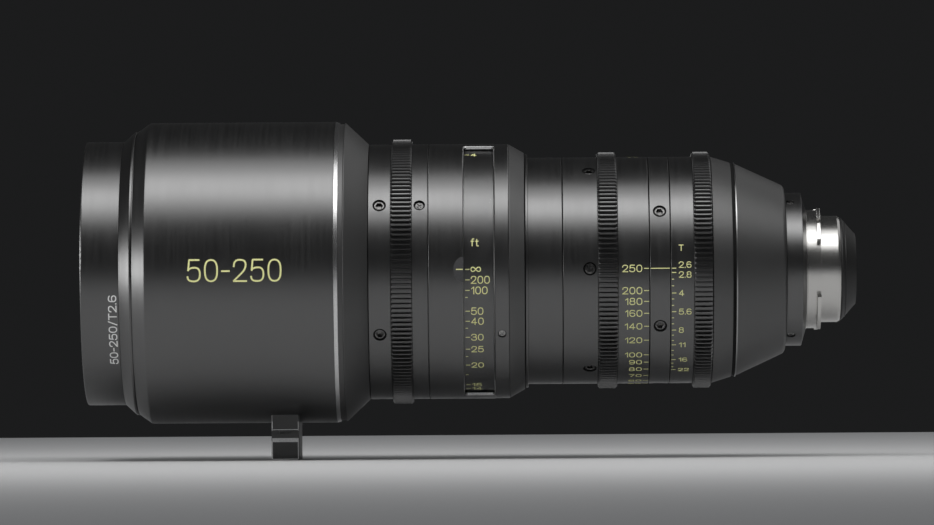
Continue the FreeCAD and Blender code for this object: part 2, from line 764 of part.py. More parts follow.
def relay_cell():
    """The cell of the rear lens group, from behind the iris to the mount."""
    flange_rear = relay_front + relay_flange_length
    taper = relay_waist - relay_taper
    bore = mount_bore - relay_wall
    front_bore = relay_front_radius - relay_wall
    return turned([(relay_front, front_bore - 2), (relay_front, barrel_rear_bore),
                   (flange_rear, barrel_rear_bore), (flange_rear, relay_front_radius),
                   (taper, relay_front_radius), (relay_waist, mount_bore),
                   (relay_rear_reach, mount_bore), (relay_rear_reach, bore - relay_rear_lip),
                   (relay_lip_front, bore - relay_rear_lip), (relay_lip_front, bore),
                   (relay_waist, bore), (taper, front_bore),
                   (flange_rear, front_bore), (flange_rear, front_bore - 2)])


def relay_glasses():
    front = relay_front + relay_flange_length + glass_shim
    rear = relay_lip_front - glass_shim
    return [lens_element(front, front + relay_front_glass, relay_front_radius - relay_wall, 1.5, 1.5),
            lens_element(rear - relay_rear_glass, rear, mount_bore - relay_wall, 1.2, 1.4)]


def guide_barrel():
    """The fixed inner tube whose straight slots keep the two zoom cells from turning."""
    body = turned([(guide_front, guide_bore), (guide_front, cam_radius - ring_gap),
                   (guide_tube_front, cam_radius - ring_gap), (guide_tube_front, guide_radius),
                   (guide_rear, guide_radius), (guide_rear, guide_bore)])
    half = roller_radius + pin_fit
    low, high = guide_bore - 1, guide_radius + 1
    slots = around(stadium(variator_x - variator_travel, variator_x, half, low, high), 3, 90)
    slots += around(stadium(compensator_x, compensator_x + compensator_travel, half, low, high), 3, 150)
    return body.cut(slots)


def iris_housing():
    """The ring behind the zoom barrels: it holds the guide barrel, the blade pivots and the cam plate."""
    body = turned([(iris_housing_front, guide_radius), (iris_housing_front, barrel_rear_bore),
                   (iris_housing_rear, barrel_rear_bore), (iris_housing_rear, iris_bore),
                   (iris_wall_rear, iris_bore), (iris_wall_rear, blade_inner), (iris_wall_front, blade_inner),
                   (iris_wall_front, guide_bore - 1), (guide_rear, guide_bore - 1),
                   (guide_rear, guide_radius)])
    hole = post_along(pivot_radius, blade_pin_radius + run_fit,
                      iris_wall_rear - blade_pin_length - ring_gap, iris_wall_rear + 1)
    return body.cut(around(hole, blade_count))


def post_along(radius_at, radius, front, rear):
    """A round pin along the axis, standing off it over +Z."""
    return Part.makeCylinder(radius, rear - front, V(front, 0, radius_at), axis)


def drive_pin_path(steps):
    """Where the drive pin of the blade at angle 0 runs, in the cam plate's own frame."""
    path = []
    for k in range(steps + 1):
        swing = math.radians(blade_turn * k / steps)
        across = pivot_radius + blade_tail * math.sin(swing)
        along = -blade_tail * math.cos(swing)
        angle = math.atan2(along, across) - math.radians(iris_turn * k / steps)
        path.append((math.hypot(across, along), angle))
    return path


def cam_slot():
    """A curved slot in the cam plate round the drive pin's path."""
    half = blade_pin_radius + pin_fit
    x = iris_plate_front - 1
    centre = [V(x, -r * math.cos(a), r * math.sin(a)) for r, a in drive_pin_path(14)]
    left, right = [], []
    for k, point in enumerate(centre):
        before, after = centre[max(k - 1, 0)], centre[min(k + 1, len(centre) - 1)]
        side = axis.cross((after - before).normalize()) * half
        left.append(point + side)
        right.append(point - side)
    start = centre[0] + (centre[0] - centre[1]).normalize() * half
    end = centre[-1] + (centre[-1] - centre[-2]).normalize() * half
    edges = [Part.makeLine(a, b) for a, b in zip(left, left[1:])]
    edges.append(Part.Arc(left[-1], end, right[-1]).toShape())
    edges += [Part.makeLine(a, b) for a, b in zip(right[::-1], right[-2::-1])]
    edges.append(Part.Arc(right[0], start, left[0]).toShape())
    slot = Part.Face(Part.Wire(edges)).extrude(V(iris_plate_thickness + 2, 0, 0))
    slot.rotate(origin, axis, -90)
    return slot


def iris_cam_plate():
    skirt = iris_plate_radius - iris_skirt_wall
    body = turned([(iris_plate_front, blade_inner), (iris_plate_front, iris_plate_radius),
                   (iris_skirt_rear, iris_plate_radius), (iris_skirt_rear, skirt),
                   (iris_plate_rear, skirt), (iris_plate_rear, blade_inner)])
    hole = post(iris_pin_x, iris_pin_radius, skirt - 1, iris_plate_radius + 1)
    return body.cut(around(cam_slot(), blade_count) + [spin(hole, 0)])


def iris_drive_pin():
    foot = iris_plate_radius - iris_skirt_wall + pin_hole_floor
    return spin(post(iris_pin_x, iris_pin_radius, foot, zoom_seat - pin_hole_skin), 0)


def iris_blade(number):
    """One blade: a curved leaf, its ear, a pivot pin in front and a drive pin behind."""
    front = blade_stack_front + number * blade_pitch
    rear = front + blade_thickness
    leaf = turned([(front, blade_inner), (front, blade_outer), (rear, blade_outer), (rear, blade_inner)],
                  90 + blade_span / 2, blade_span)
    neck = Part.makeBox(blade_thickness, 2 * blade_ear_radius, pivot_radius - blade_inner - 3,
                        V(front, -blade_ear_radius, blade_inner + 3))
    tail = Part.makeBox(blade_thickness, blade_tail, 2 * blade_ear_radius,
                        V(front, -blade_tail, pivot_radius - blade_ear_radius))
    tail_pin_at = V(0, -blade_tail, 0)
    eye = post_along(pivot_radius, blade_ear_radius, front, rear)
    tail_eye = eye.translated(tail_pin_at)
    pivot_pin = post_along(pivot_radius, blade_pin_radius, iris_wall_rear - blade_pin_length, rear)
    drive_pin = post_along(pivot_radius, blade_pin_radius, front,
                           iris_plate_rear - iris_plate_thickness / 4)
    blade = leaf.fuse([neck, tail, eye, tail_eye, pivot_pin, drive_pin.translated(tail_pin_at)])
    return spin(blade.removeSplitter(), 360.0 * number / blade_count)


def focus_ring():
    """The focus ring's sleeve: a band behind the gear, and a seat for gear and clamp ring."""
    body = turned([(focus_clamp_front, focus_bore), (focus_clamp_front, focus_seat),
                   (focus_gear_rear, focus_seat), (focus_gear_rear, focus_radius, edge_round),
                   (focus_band_rear, focus_radius, edge_round), (focus_band_rear, spigot_radius),
                   (spigot_rear, spigot_radius), (spigot_rear, focus_bore)])
    seat = screw_seat(stop_screw_x, focus_radius, focus_radius - small_screw_length,
                      cross_head_radius, cross_bore_radius, cross_head_length)
    clamp_hole = post(drive_key_x, socket_head_radius, focus_seat - screw_hold, focus_seat + 1)
    key_hole = post(drive_key_x, drive_key_radius, focus_bore - 1, focus_seat - pin_hole_skin)
    holes = [piece for cut in seat for piece in around(cut, 3, 30)] + around(clamp_hole, 6, 30)
    return body.cut(holes + [spin(key_hole, 90 - focus_turn / 2)])


def focus_clamp_ring():
    body = ring(focus_clamp_front, focus_gear_front, focus_seat, focus_radius)
    seat = screw_seat(drive_key_x, focus_radius, focus_seat - 1,
                      socket_head_radius, socket_bore_radius, socket_head_length)
    return body.cut([piece for cut in seat for piece in around(cut, 6, 30)])


def focus_ring_screws():
    return around(socket_screw(drive_key_x, focus_radius, focus_seat - screw_hold), 6, 30)


def focus_stop_screws():
    return around(cross_screw(stop_screw_x, focus_radius, focus_radius - small_screw_length), 3, 30)


def focus_scale_ring():
    """The ring with the distance scale, under the window."""
    rear = cover_lock_front - ring_gap
    bore = focus_bore + ring_gap
    return turned([(focus_band_rear, spigot_radius), (focus_band_rear, scale_ring_radius),
                   (rear, scale_ring_radius), (rear, bore), (spigot_rear, bore),
                   (spigot_rear, spigot_radius)])


def focus_drive_key():
    key = post(drive_key_x, drive_key_radius, helicoid_bore + pin_hole_floor, focus_seat - pin_hole_skin)
    return spin(key, 90 - focus_turn / 2)


def focus_helicoid():
    """The inner sleeve with three helical grooves that push the focus cell."""
    body = tube(helicoid_front, helicoid_rear, helicoid_bore, helicoid_radius)
    groove = helical_slot(focus_pin_x, -focus_travel, focus_turn, focus_pin_radius + pin_fit,
                          helicoid_bore - 1, helicoid_bore + helicoid_groove_depth, helicoid_bore)
    hole = post(drive_key_x, drive_key_radius, helicoid_bore + pin_hole_floor, helicoid_radius + 1)
    return body.cut(around(groove, 3, 30) + [spin(hole, 90 - focus_turn / 2)])


def focus_cell():
    front = cell_flange_rear - focus_flange_length
    seat_front = front - focus_seat_length
    bore = focus_glass_radius
    flange = front_barrel_bore - run_fit
    lip_rear = cell_flange_rear + focus_lip
    body = turned([(seat_front, bore), (seat_front, bore + focus_seat_wall), (front, bore + focus_seat_wall),
                   (front, flange), (cell_flange_rear, flange),
                   (cell_flange_rear, focus_tail_radius), (focus_tail_rear, focus_tail_radius),
                   (focus_tail_rear, focus_tail_bore), (lip_rear, focus_tail_bore),
                   (lip_rear, bore - focus_lip), (cell_flange_rear, bore - focus_lip),
                   (cell_flange_rear, bore)])
    notch_low = front_barrel_bore - focus_key_height - ring_gap
    notch = Part.makeBox(focus_flange_length + 2, focus_key_width + 2 * ring_gap, focus_key_height + 2,
                         V(front - 1, -focus_key_width / 2 - ring_gap, notch_low))
    hole = post(focus_pin_x, focus_pin_radius, focus_tail_bore + pin_hole_floor, focus_tail_radius + 1)
    return body.cut(around(notch, 3, 90) + around(hole, 3, 30))


def focus_glass():
    rear = cell_flange_rear - glass_shim
    front = rear - focus_glass_edge
    return lens_element(front, rear, focus_glass_radius, focus_glass_bulge, focus_glass_bulge)


def focus_followers():
    pin = post(focus_pin_x, focus_pin_radius, focus_tail_bore + pin_hole_floor,
               helicoid_bore + focus_pin_stand)
    return around(pin, 3, 30)


def zoom_ring():
    """The zoom ring's sleeve: the scale band, and a seat for gear and clamp ring."""
    body = turned([(zoom_clamp_front, zoom_bore), (zoom_clamp_front, zoom_seat), (zoom_gear_rear, zoom_seat),
                   (zoom_gear_rear, rear_radius, edge_round), (zoom_scale_rear, rear_radius, edge_round),
                   (zoom_scale_rear, zoom_bore)])
    hole = post(zoom_screw_x, socket_head_radius, zoom_bore + pin_hole_floor, zoom_seat + 1)
    pin_hole = post(zoom_pin_x, zoom_pin_radius, zoom_bore - 1, zoom_seat - pin_hole_skin)
    return body.cut(around(hole, 6) + [spin(pin_hole, 0)])


def zoom_clamp_ring():
    body = ring(zoom_clamp_front, zoom_gear_front, zoom_seat, rear_radius)
    seat = screw_seat(zoom_screw_x, rear_radius, zoom_seat - 1,
                      socket_head_radius, socket_bore_radius, socket_head_length)
    return body.cut([piece for cut in seat for piece in around(cut, 6)])


def zoom_ring_screws():
    return around(socket_screw(zoom_screw_x, rear_radius, zoom_bore + pin_hole_floor), 6)


def zoom_drive_pin():
    return spin(post(zoom_pin_x, zoom_pin_radius, cam_bore + pin_hole_floor, zoom_seat - pin_hole_skin), 0)


def cam_barrel():
    """The turning tube whose helical slots move the two zoom cells."""
    body = tube(cam_front, cam_rear, cam_bore, cam_radius)
    half = roller_radius + pin_fit
    middle = (cam_bore + cam_radius) / 2
    low, high = cam_bore - 1, cam_radius + 1
    variator_slot = helical_slot(variator_x, -variator_travel, zoom_turn, half, low, high, middle)
    compensator_slot = helical_slot(compensator_x, compensator_travel, zoom_turn, half, low, high, middle)
    hole = post(zoom_pin_x, zoom_pin_radius, cam_bore + pin_hole_floor, high)
    return body.cut(around(variator_slot, 3, 90) + around(compensator_slot, 3, 150) + [spin(hole, 0)])


def zoom_cell(front, rear, roller_x, first):
    """A cell that slides in the guide barrel, with a lip behind its glass and holes for its rollers."""
    bore = zoom_glass_radius
    lip = rear - cell_lip
    body = turned([(front, bore), (front, cell_radius, edge_round), (rear, cell_radius, edge_round),
                   (rear, bore - cell_lip), (lip, bore - cell_lip), (lip, bore)])
    hole = post(roller_x, roller_radius, bore + pin_hole_floor, cell_radius + 1)
    return body.cut(around(hole, 3, first))


def zoom_glass(front, rear, front_bulge, rear_bulge):
    return lens_element(front + cell_glass_inset, rear - cell_lip - glass_shim, zoom_glass_radius,
                        front_bulge, rear_bulge)


def zoom_rollers(roller_x, first):
    roller = post(roller_x, roller_radius, zoom_glass_radius + pin_hole_floor, cam_radius - roller_drop)
    return around(roller, 3, first)


def iris_ring():
    """The iris ring's sleeve: the scale band, and a seat for the gear."""
    body = turned([(iris_band_front, zoom_bore), (iris_band_front, rear_radius, edge_round),
                   (iris_gear_front, rear_radius, edge_round), (iris_gear_front, zoom_seat),
                   (iris_gear_rear, zoom_seat), (iris_gear_rear, zoom_bore)])
    return body.cut(spin(post(iris_pin_x, iris_pin_radius, zoom_bore - 1, zoom_seat - pin_hole_skin), 0))


parts = {
    "front_ring": front_ring(),
    "front_step_ring": front_step_ring(),
    "front_housing": front_housing(),
    "housing_trim_ring": housing_trim_ring(),
    "housing_rear_cone": housing_rear_cone(),
    "support_foot": support_foot(),
    "front_barrel": front_barrel(),
    "front_glass": front_glass(),
    "main_barrel": main_barrel(),
    "scale_cover": scale_cover(),
    "scale_window": scale_window(),
    "cover_lock_ring": cover_lock_ring(),
    "cover_cone": cover_cone(),
    "mid_sleeve": mid_sleeve(),
    "index_ring": index_ring(),
    "index_ring_screws": index_ring_screws(),
    "rear_cone_ring": rear_cone_ring(),
    "rear_housing": rear_housing(),
    "mount_collar": mount_collar(),
    "small_cross_screws": small_cross_screws(),
    "lens_mount": lens_mount(),
    "rear_shroud": rear_shroud(),
    "guide_barrel": guide_barrel(),
    "iris_housing": iris_housing(),
    "relay_cell": relay_cell(),
    "relay_glasses": relay_glasses(),
    "focus_ring": focus_ring(),
    "focus_clamp_ring": focus_clamp_ring(),
    "focus_gear": gear_ring(focus_gear_front, focus_gear_rear, focus_radius, focus_seat),
    "focus_ring_screws": focus_ring_screws(),
    "focus_stop_screws": focus_stop_screws(),
    "focus_scale_ring": focus_scale_ring(),
    "focus_drive_key": focus_drive_key(),
    "focus_helicoid": focus_helicoid(),
    "focus_cell": focus_cell(),
    "focus_glass": focus_glass(),
    "focus_followers": focus_followers(),
    "zoom_ring": zoom_ring(),
    "zoom_clamp_ring": zoom_clamp_ring(),
    "zoom_gear": gear_ring(zoom_gear_front, zoom_gear_rear, rear_radius, zoom_seat),
    "zoom_ring_screws": zoom_ring_screws(),
    "zoom_drive_pin": zoom_drive_pin(),
    "cam_barrel": cam_barrel(),
    "variator_cell": zoom_cell(variator_front, variator_rear, variator_x, 90),
    "variator_glass": zoom_glass(variator_front, variator_rear, -2.5, -2.0),
    "variator_rollers": zoom_rollers(variator_x, 90),
    "compensator_cell": zoom_cell(compensator_front, compensator_rear, compensator_x, 150),
    "compensator_glass": zoom_glass(compensator_front, compensator_rear, 2.5, 1.5),
    "compensator_rollers": zoom_rollers(compensator_x, 150),
    "iris_ring": iris_ring(),
    "iris_gear": gear_ring(iris_gear_front, iris_gear_rear, rear_radius, zoom_seat),
    "iris_cam_plate": iris_cam_plate(),
    "iris_drive_pin": iris_drive_pin(),
}
for number in range(blade_count):
    parts["iris_blade_%d" % (number + 1)] = iris_blade(number)

os.makedirs("parts", exist_ok=True)
for name, shape in parts.items():
    if isinstance(shape, list):
        shape = Part.makeCompound(shape)
    shape.exportStep("parts/%s.step" % name)
    print("%-20s solids %2d  volume %10.1f  valid %s"
          % (name, len(shape.Solids), shape.Volume, shape.isValid()))
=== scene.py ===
import math
import bmesh
import bpy
from mathutils import Matrix, Vector


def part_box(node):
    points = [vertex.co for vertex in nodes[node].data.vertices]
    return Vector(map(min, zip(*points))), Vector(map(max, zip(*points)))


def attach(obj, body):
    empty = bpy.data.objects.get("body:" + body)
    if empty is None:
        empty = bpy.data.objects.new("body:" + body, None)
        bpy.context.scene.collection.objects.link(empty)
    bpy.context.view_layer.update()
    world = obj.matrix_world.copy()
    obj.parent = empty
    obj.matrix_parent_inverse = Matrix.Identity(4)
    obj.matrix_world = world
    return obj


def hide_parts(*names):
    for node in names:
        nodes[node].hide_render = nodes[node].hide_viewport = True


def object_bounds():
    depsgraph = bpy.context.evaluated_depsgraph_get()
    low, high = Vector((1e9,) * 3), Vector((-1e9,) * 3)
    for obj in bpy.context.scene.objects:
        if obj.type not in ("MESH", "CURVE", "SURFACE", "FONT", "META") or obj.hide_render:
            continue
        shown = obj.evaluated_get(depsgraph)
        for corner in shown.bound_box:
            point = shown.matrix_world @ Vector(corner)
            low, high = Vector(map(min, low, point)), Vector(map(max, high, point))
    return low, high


# Cinema zoom lens. Metres, with the optical axis on X, the mount at the origin and the front glass at -X.
# Angles go round the axis in degrees: 0 is the index side (-Y), 90 the top (+Z), 180 the far side (+Y).

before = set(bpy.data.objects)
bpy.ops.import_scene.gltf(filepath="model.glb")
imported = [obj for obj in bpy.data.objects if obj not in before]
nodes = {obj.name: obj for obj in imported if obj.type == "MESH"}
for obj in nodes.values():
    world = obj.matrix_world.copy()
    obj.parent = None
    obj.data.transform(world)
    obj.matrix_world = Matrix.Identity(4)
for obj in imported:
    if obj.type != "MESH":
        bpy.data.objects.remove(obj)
cadLow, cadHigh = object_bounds()
mm = 0.001
scene = bpy.context.scene


def span(node):                                     # front, rear and outer radius of a turned node
    low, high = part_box(node)
    return low.x, high.x, high.z


def middle(node):                                   # half-way along a node
    front, rear, _ = span(node)
    return (front + rear) / 2


def onBarrel(x, turn, radius):                      # a point at an angle round the axis, in radians
    return (x, -radius * math.cos(turn), radius * math.sin(turn))


class Wire:                                         # a node's socket that takes part in sums
    def __init__(self, tree, socket=None):
        self.tree = tree
        self.socket = socket

    def make(self, kind, settings=None, inputs=None, output=0):
        node = self.tree.nodes.new(kind)
        for name, value in (settings or {}).items():
            setattr(node, name, value)
        for key, value in (inputs or {}).items():
            if isinstance(value, Wire):
                self.tree.links.new(value.socket, node.inputs[key])
            else:
                node.inputs[key].default_value = value
        return Wire(self.tree, node.outputs[output] if node.outputs else None)

    def other(self, output):                        # another output of the same node
        return Wire(self.tree, self.socket.node.outputs[output])

    def sums(self, operation, first, second):
        return self.make("ShaderNodeMath", {"operation": operation}, {0: first, 1: second})

    def __add__(self, other):
        return self.sums("ADD", self, other)

    def __sub__(self, other):
        return self.sums("SUBTRACT", self, other)

    def __rsub__(self, other):
        return self.sums("SUBTRACT", other, self)

    def __mul__(self, other):
        return self.sums("MULTIPLY", self, other)

    def __truediv__(self, other):
        return self.sums("DIVIDE", self, other)

    def __rtruediv__(self, other):
        return self.sums("DIVIDE", other, self)

    def __pow__(self, other):
        return self.sums("POWER", self, other)

    __radd__ = __add__
    __rmul__ = __mul__

    def swing(self, amount):                        # a pattern from 0 to 1 as a change up and down
        return (self - 0.5) * amount

    def between(self, low, high):                   # 0 below low, 1 above high, smooth in between
        return self.make("ShaderNodeMapRange", {"interpolation_type": "SMOOTHSTEP"},
                         {"Value": self, "From Min": low, "From Max": high})

    def mix(self, dark, light):                     # from one colour to the other
        return self.make("ShaderNodeMix", {"data_type": "RGBA"}, {0: self, 6: dark, 7: light}, output=2)


def colour(red, green, blue):
    return (red, green, blue, 1.0)


def grey(level, warm=0.0):
    return colour(level * (1 + warm), level, level * (1 - warm))


def newMaterial(name):                              # an empty material, with object coordinates to start from
    material = bpy.data.materials.new(name)
    material.use_nodes = True
    material.node_tree.nodes.clear()
    start = Wire(material.node_tree)
    return material, start.make("ShaderNodeTexCoord", output="Object")


def closeMaterial(place, fixed, changing):          # fixed numbers on the shader's sockets, patterns linked
    shader = place.make("ShaderNodeBsdfPrincipled", inputs={**fixed, **changing})
    place.make("ShaderNodeOutputMaterial", inputs={"Surface": shader})


def cloud(place, scale, detail):                    # soft noise
    return place.make("ShaderNodeTexNoise", inputs={"Vector": place, "Scale": scale, "Detail": detail})


def bump(place, height, look):
    return place.make("ShaderNodeBump", inputs={"Strength": look["bump"], "Distance": look["bumpDepth"],
                                                "Height": height})


lathe = {"detail": 4.0, "roughness": 0.75, "blackDrift": 1.2, "steelDrift": 2.5, "nearAxis": 1e-9}


def turningLines(place, pitch, drift):              # lathe marks: fine along the axis, long round it
    across = place.make("ShaderNodeSeparateXYZ", inputs={0: place})
    side, up = across.other("Y"), across.other("Z")
    radius = (side * side + up * up + lathe["nearAxis"]) ** 0.5
    around = place.make("ShaderNodeCombineXYZ",
                        inputs={0: across / pitch, 1: side / radius * drift, 2: up / radius * drift})
    return place.make("ShaderNodeTexNoise", {"noise_dimensions": "4D"},
                      {"Vector": around, "W": radius / pitch, "Scale": 1.0, "Detail": lathe["detail"],
                       "Roughness": lathe["roughness"]})


satinLook = {"pitch": 1.3 * mm, "dark": 0.001, "light": 0.003, "rough": 0.32, "streak": 0.16, "ior": 2.3,
             "grain": 9000.0, "marks": 0.8, "bump": 0.25, "bumpDepth": 0.04 * mm, "lineRange": (0.3, 0.75),
             "lineShare": 0.6, "smudge": 38.0, "smudgeRough": 0.07, "dust": 2600.0,
             "dustRange": (0.66, 0.74), "dustRough": 0.08}
matteLook = {**satinLook, "dark": 0.003, "light": 0.006, "rough": 0.48, "streak": 0.06,
             "ior": 2.1, "marks": 0.25, "bump": 0.35}
gearLook = {**satinLook, "dark": 0.002, "light": 0.005, "rough": 0.30, "streak": 0.05, "marks": 0.3,
            "bump": 0.10}
shroudLook = {**matteLook, "rough": 0.52, "ior": 1.6}
innerLook = {**matteLook, "dark": 0.004, "light": 0.007, "rough": 0.6, "ior": 1.5}
scaleLook = {**satinLook, "dark": 0.003, "light": 0.006, "rough": 0.33, "ior": 2.25, "bump": 0.15}
# near-black and rough, laid where shade falls: painted shade in the groove and round the screw heads
paintedShadeLook = {**matteLook, "dark": 0.002, "light": 0.004, "rough": 0.7, "ior": 1.3}


def anodised(name, look):                           # black anodised aluminium, turned on a lathe
    material, place = newMaterial(name)
    lines = turningLines(place, look["pitch"], lathe["blackDrift"])
    smudge = cloud(place, look["smudge"], 4.0)
    dust = cloud(place, look["dust"], 1.0).between(*look["dustRange"])
    mottle = lines.between(*look["lineRange"]) * look["lineShare"] + smudge * (1 - look["lineShare"])
    rough = look["rough"] + lines.swing(look["streak"]) + smudge.swing(look["smudgeRough"])
    grain = cloud(place, look["grain"], 2.0)
    height = lines * look["marks"] + grain * (1 - look["marks"])
    closeMaterial(place, {"IOR": look["ior"], "Metallic": 0.0},
                  {"Base Color": mottle.mix(grey(look["dark"]), grey(look["light"], 0.015)),
                   "Roughness": rough + dust * look["dustRough"], "Normal": bump(place, height, look)})
    return material


satinBlack = anodised("satinBlack", satinLook)
matteBlack = anodised("matteBlack", matteLook)
gearBlack = anodised("gearBlack", gearLook)
shroudBlack = anodised("shroudBlack", shroudLook)
innerBlack = anodised("innerBlack", innerLook)
scaleBlack = anodised("scaleBlack", scaleLook)
# painted shade: the near-black for the groove and for the gaps round the screw heads
paintedShadeBlack = anodised("paintedShadeBlack", paintedShadeLook)

footLook = {"dark": 0.008, "light": 0.014, "rough": 0.38, "ior": 1.9, "stretch": (260.0, 900.0, 5200.0),
            "wear": 150.0, "toolShare": 0.5, "swing": 0.08, "bump": 0.2, "bumpDepth": 0.03 * mm}


def milledBlack(name, look):                        # the foot: straight tool marks instead of turned ones
    material, place = newMaterial(name)
    stretch = place.make("ShaderNodeMapping", inputs={"Vector": place, "Scale": look["stretch"]})
    tool = cloud(stretch, 1.0, 3.0)
    wear = cloud(place, look["wear"], 5.0)
    mottle = tool * look["toolShare"] + wear * (1 - look["toolShare"])
    closeMaterial(place, {"IOR": look["ior"]},
                  {"Base Color": mottle.mix(grey(look["dark"]), grey(look["light"], 0.02)),
                   "Roughness": look["rough"] + tool.swing(look["swing"]) + wear.swing(look["swing"]),
                   "Normal": bump(place, tool, look)})
    return material


steelLook = {"smudge": 60.0, "lineShare": 0.6, "dull": 0.82, "smudgeRough": 0.08, "bump": 0.12,
             "bumpDepth": 0.02 * mm}


def turnedSteel(name, pitch, tint, rough, marks):   # bare metal fresh from the lathe
    look = steelLook
    material, place = newMaterial(name)
    lines = turningLines(place, pitch, lathe["steelDrift"])
    smudge = cloud(place, look["smudge"], 4.0)
    mottle = lines * look["lineShare"] + smudge * (1 - look["lineShare"])
    dull = colour(*(c * look["dull"] for c in tint[:3]))
    closeMaterial(place, {"Metallic": 1.0},
                  {"Base Color": mottle.mix(dull, tint),
                   "Roughness": rough + lines.swing(marks) + smudge.swing(look["smudgeRough"]),
                   "Normal": bump(place, lines, look)})
    return material


footBlack = milledBlack("footBlack", footLook)
# pitch of the lathe marks, tint, roughness, and how far the marks change it
mountSteel = turnedSteel("mountSteel", 0.18 * mm, colour(0.70, 0.69, 0.67), 0.25, 0.09)
brightTrim = turnedSteel("brightTrim", 0.10 * mm, grey(0.82), 0.26, 0.06)
innerBrass = turnedSteel("innerBrass", 0.25 * mm, colour(0.62, 0.46, 0.20), 0.28, 0.10)
bladeSteel = turnedSteel("bladeSteel", 0.30 * mm, colour(0.08, 0.08, 0.09), 0.35, 0.08)
bareEdge = turnedSteel("bareEdge", 0.20 * mm, grey(0.42), 0.30, 0.08)

screwLook = {"fixed": {"Metallic": 1.0}, "patches": 900.0, "detail": 5.0, "range": (0.35, 0.75),
             "rough": 0.30, "swing": 0.2, "bump": 0.1, "bumpDepth": 0.02 * mm}
paintLook = {**screwLook, "fixed": {"IOR": 1.45}, "patches": 1400.0, "detail": 4.0, "range": (0.25, 0.6),
             "rough": 0.5}


def patchy(name, look, worn, full):                 # a thin finish that changes from patch to patch
    material, place = newMaterial(name)
    patches = cloud(place, look["patches"], look["detail"])
    closeMaterial(place, look["fixed"],
                  {"Base Color": patches.between(*look["range"]).mix(worn, full),
                   "Roughness": look["rough"] + patches.swing(look["swing"]),
                   "Normal": bump(place, patches, look)})
    return material


# blackened steel, rubbed pale on the heads
screwBlack = patchy("screwBlack", screwLook, grey(0.10), grey(0.24, 0.02))
screwWorn = patchy("screwWorn", screwLook, grey(0.34), grey(0.60, 0.02))
# enamel rubbed into engraved marks, painted highlights for the foot's edges, and the bare cut edges
paleYellow = patchy("paleYellow", paintLook, colour(0.90, 0.90, 0.40), colour(0.95, 0.95, 0.44))
paleWhite = patchy("paleWhite", paintLook, colour(0.90, 0.90, 0.88), colour(0.95, 0.95, 0.94))
indexGrey = patchy("indexGrey", paintLook, colour(0.052, 0.052, 0.054), colour(0.062, 0.062, 0.064))
# painted highlight: a pale paint standing for glints on the foot's edges and slope
footHighlightPaint = patchy("footHighlightPaint", paintLook, grey(0.48), grey(0.62))
edgeSilver = patchy("edgeSilver", paintLook, grey(0.66), grey(0.80))

glassLook = {"body": colour(0.93, 0.96, 0.95), "ior": 1.55, "rough": 0.004, "haze": 55.0, "hazeRough": 0.012,
             "specks": 1500.0, "speckRange": (0.70, 0.78), "speckRough": 0.12}
paneLook = {"ior": 1.02, "sheen": 0.9, "rough": 0.02, "haze": 60.0, "hazeRough": 0.03}


def coatedGlass(name, reflection):                  # optical glass with a coating that tints what it reflects
    look = glassLook
    material, place = newMaterial(name)
    haze = cloud(place, look["haze"], 5.0)
    specks = cloud(place, look["specks"], 1.0).between(*look["speckRange"])
    closeMaterial(place, {"Base Color": look["body"], "Transmission Weight": 1.0, "IOR": look["ior"],
                          "Specular Tint": reflection},
                  {"Roughness": look["rough"] + haze * look["hazeRough"] + specks * look["speckRough"]})
    return material


def clearPane(name):                                # the window: clear, with a faint sheen seen aslant
    look = paneLook
    material, place = newMaterial(name)
    haze = cloud(place, look["haze"], 4.0)
    sheen = place.make("ShaderNodeBsdfPrincipled",
                       inputs={"Base Color": grey(look["sheen"]), "Metallic": 1.0,
                               "Roughness": look["rough"] + haze * look["hazeRough"]})
    share = place.make("ShaderNodeFresnel", inputs={"IOR": look["ior"]})
    clear = place.make("ShaderNodeBsdfTransparent")
    mixed = place.make("ShaderNodeMixShader", inputs={0: share, 1: clear, 2: sheen})
    place.make("ShaderNodeOutputMaterial", inputs={"Surface": mixed})
    return material


glassFront = coatedGlass("glassFront", colour(0.42, 0.30, 0.95))
glassInner = coatedGlass("glassInner", colour(0.30, 0.75, 0.55))
windowPane = clearPane("windowPane")
print("materials:", len(bpy.data.materials))


dress = {
    satinBlack: ["front_ring", "front_step_ring", "front_housing", "focus_ring", "focus_clamp_ring",
                 "scale_cover", "cover_lock_ring", "mount_collar", "mid_sleeve", "zoom_ring",
                 "zoom_clamp_ring", "index_ring", "iris_ring"],
    matteBlack: ["housing_rear_cone", "cover_cone", "rear_cone_ring", "rear_housing"],
    shroudBlack: ["rear_shroud"],
    footBlack: ["support_foot"],
    scaleBlack: ["focus_scale_ring"],
    brightTrim: ["housing_trim_ring"],
    mountSteel: ["lens_mount"],
    glassFront: ["front_glass"],
    glassInner: ["relay_glasses", "focus_glass", "variator_glass", "compensator_glass"],
    windowPane: ["scale_window"],
    innerBlack: ["front_barrel", "main_barrel", "guide_barrel", "iris_housing", "relay_cell", "focus_cell",
                 "variator_cell", "compensator_cell"],
    innerBrass: ["focus_helicoid", "cam_barrel", "focus_drive_key", "focus_followers", "zoom_drive_pin",
                 "variator_rollers", "compensator_rollers", "iris_drive_pin"],
    bladeSteel: ["iris_cam_plate"] + ["iris_blade_%d" % (k + 1) for k in range(7)],
}
for material, names in dress.items():
    for name in names:
        nodes[name].material_slots[0].material = material
print("dressed nodes:", sum(len(names) for names in dress.values()))


def shade(mesh, sharp):                             # smooth faces, with edges sharper than an angle kept
    for face in mesh.polygons:
        face.use_smooth = True
    mesh.set_sharp_from_angle(angle=math.radians(sharp))


def closedMesh(work, name):                         # ends a bmesh as a mesh whose faces point outwards
    bmesh.ops.recalc_face_normals(work, faces=work.faces)
    mesh = bpy.data.meshes.new(name)
    work.to_mesh(mesh)
    work.free()
    return mesh


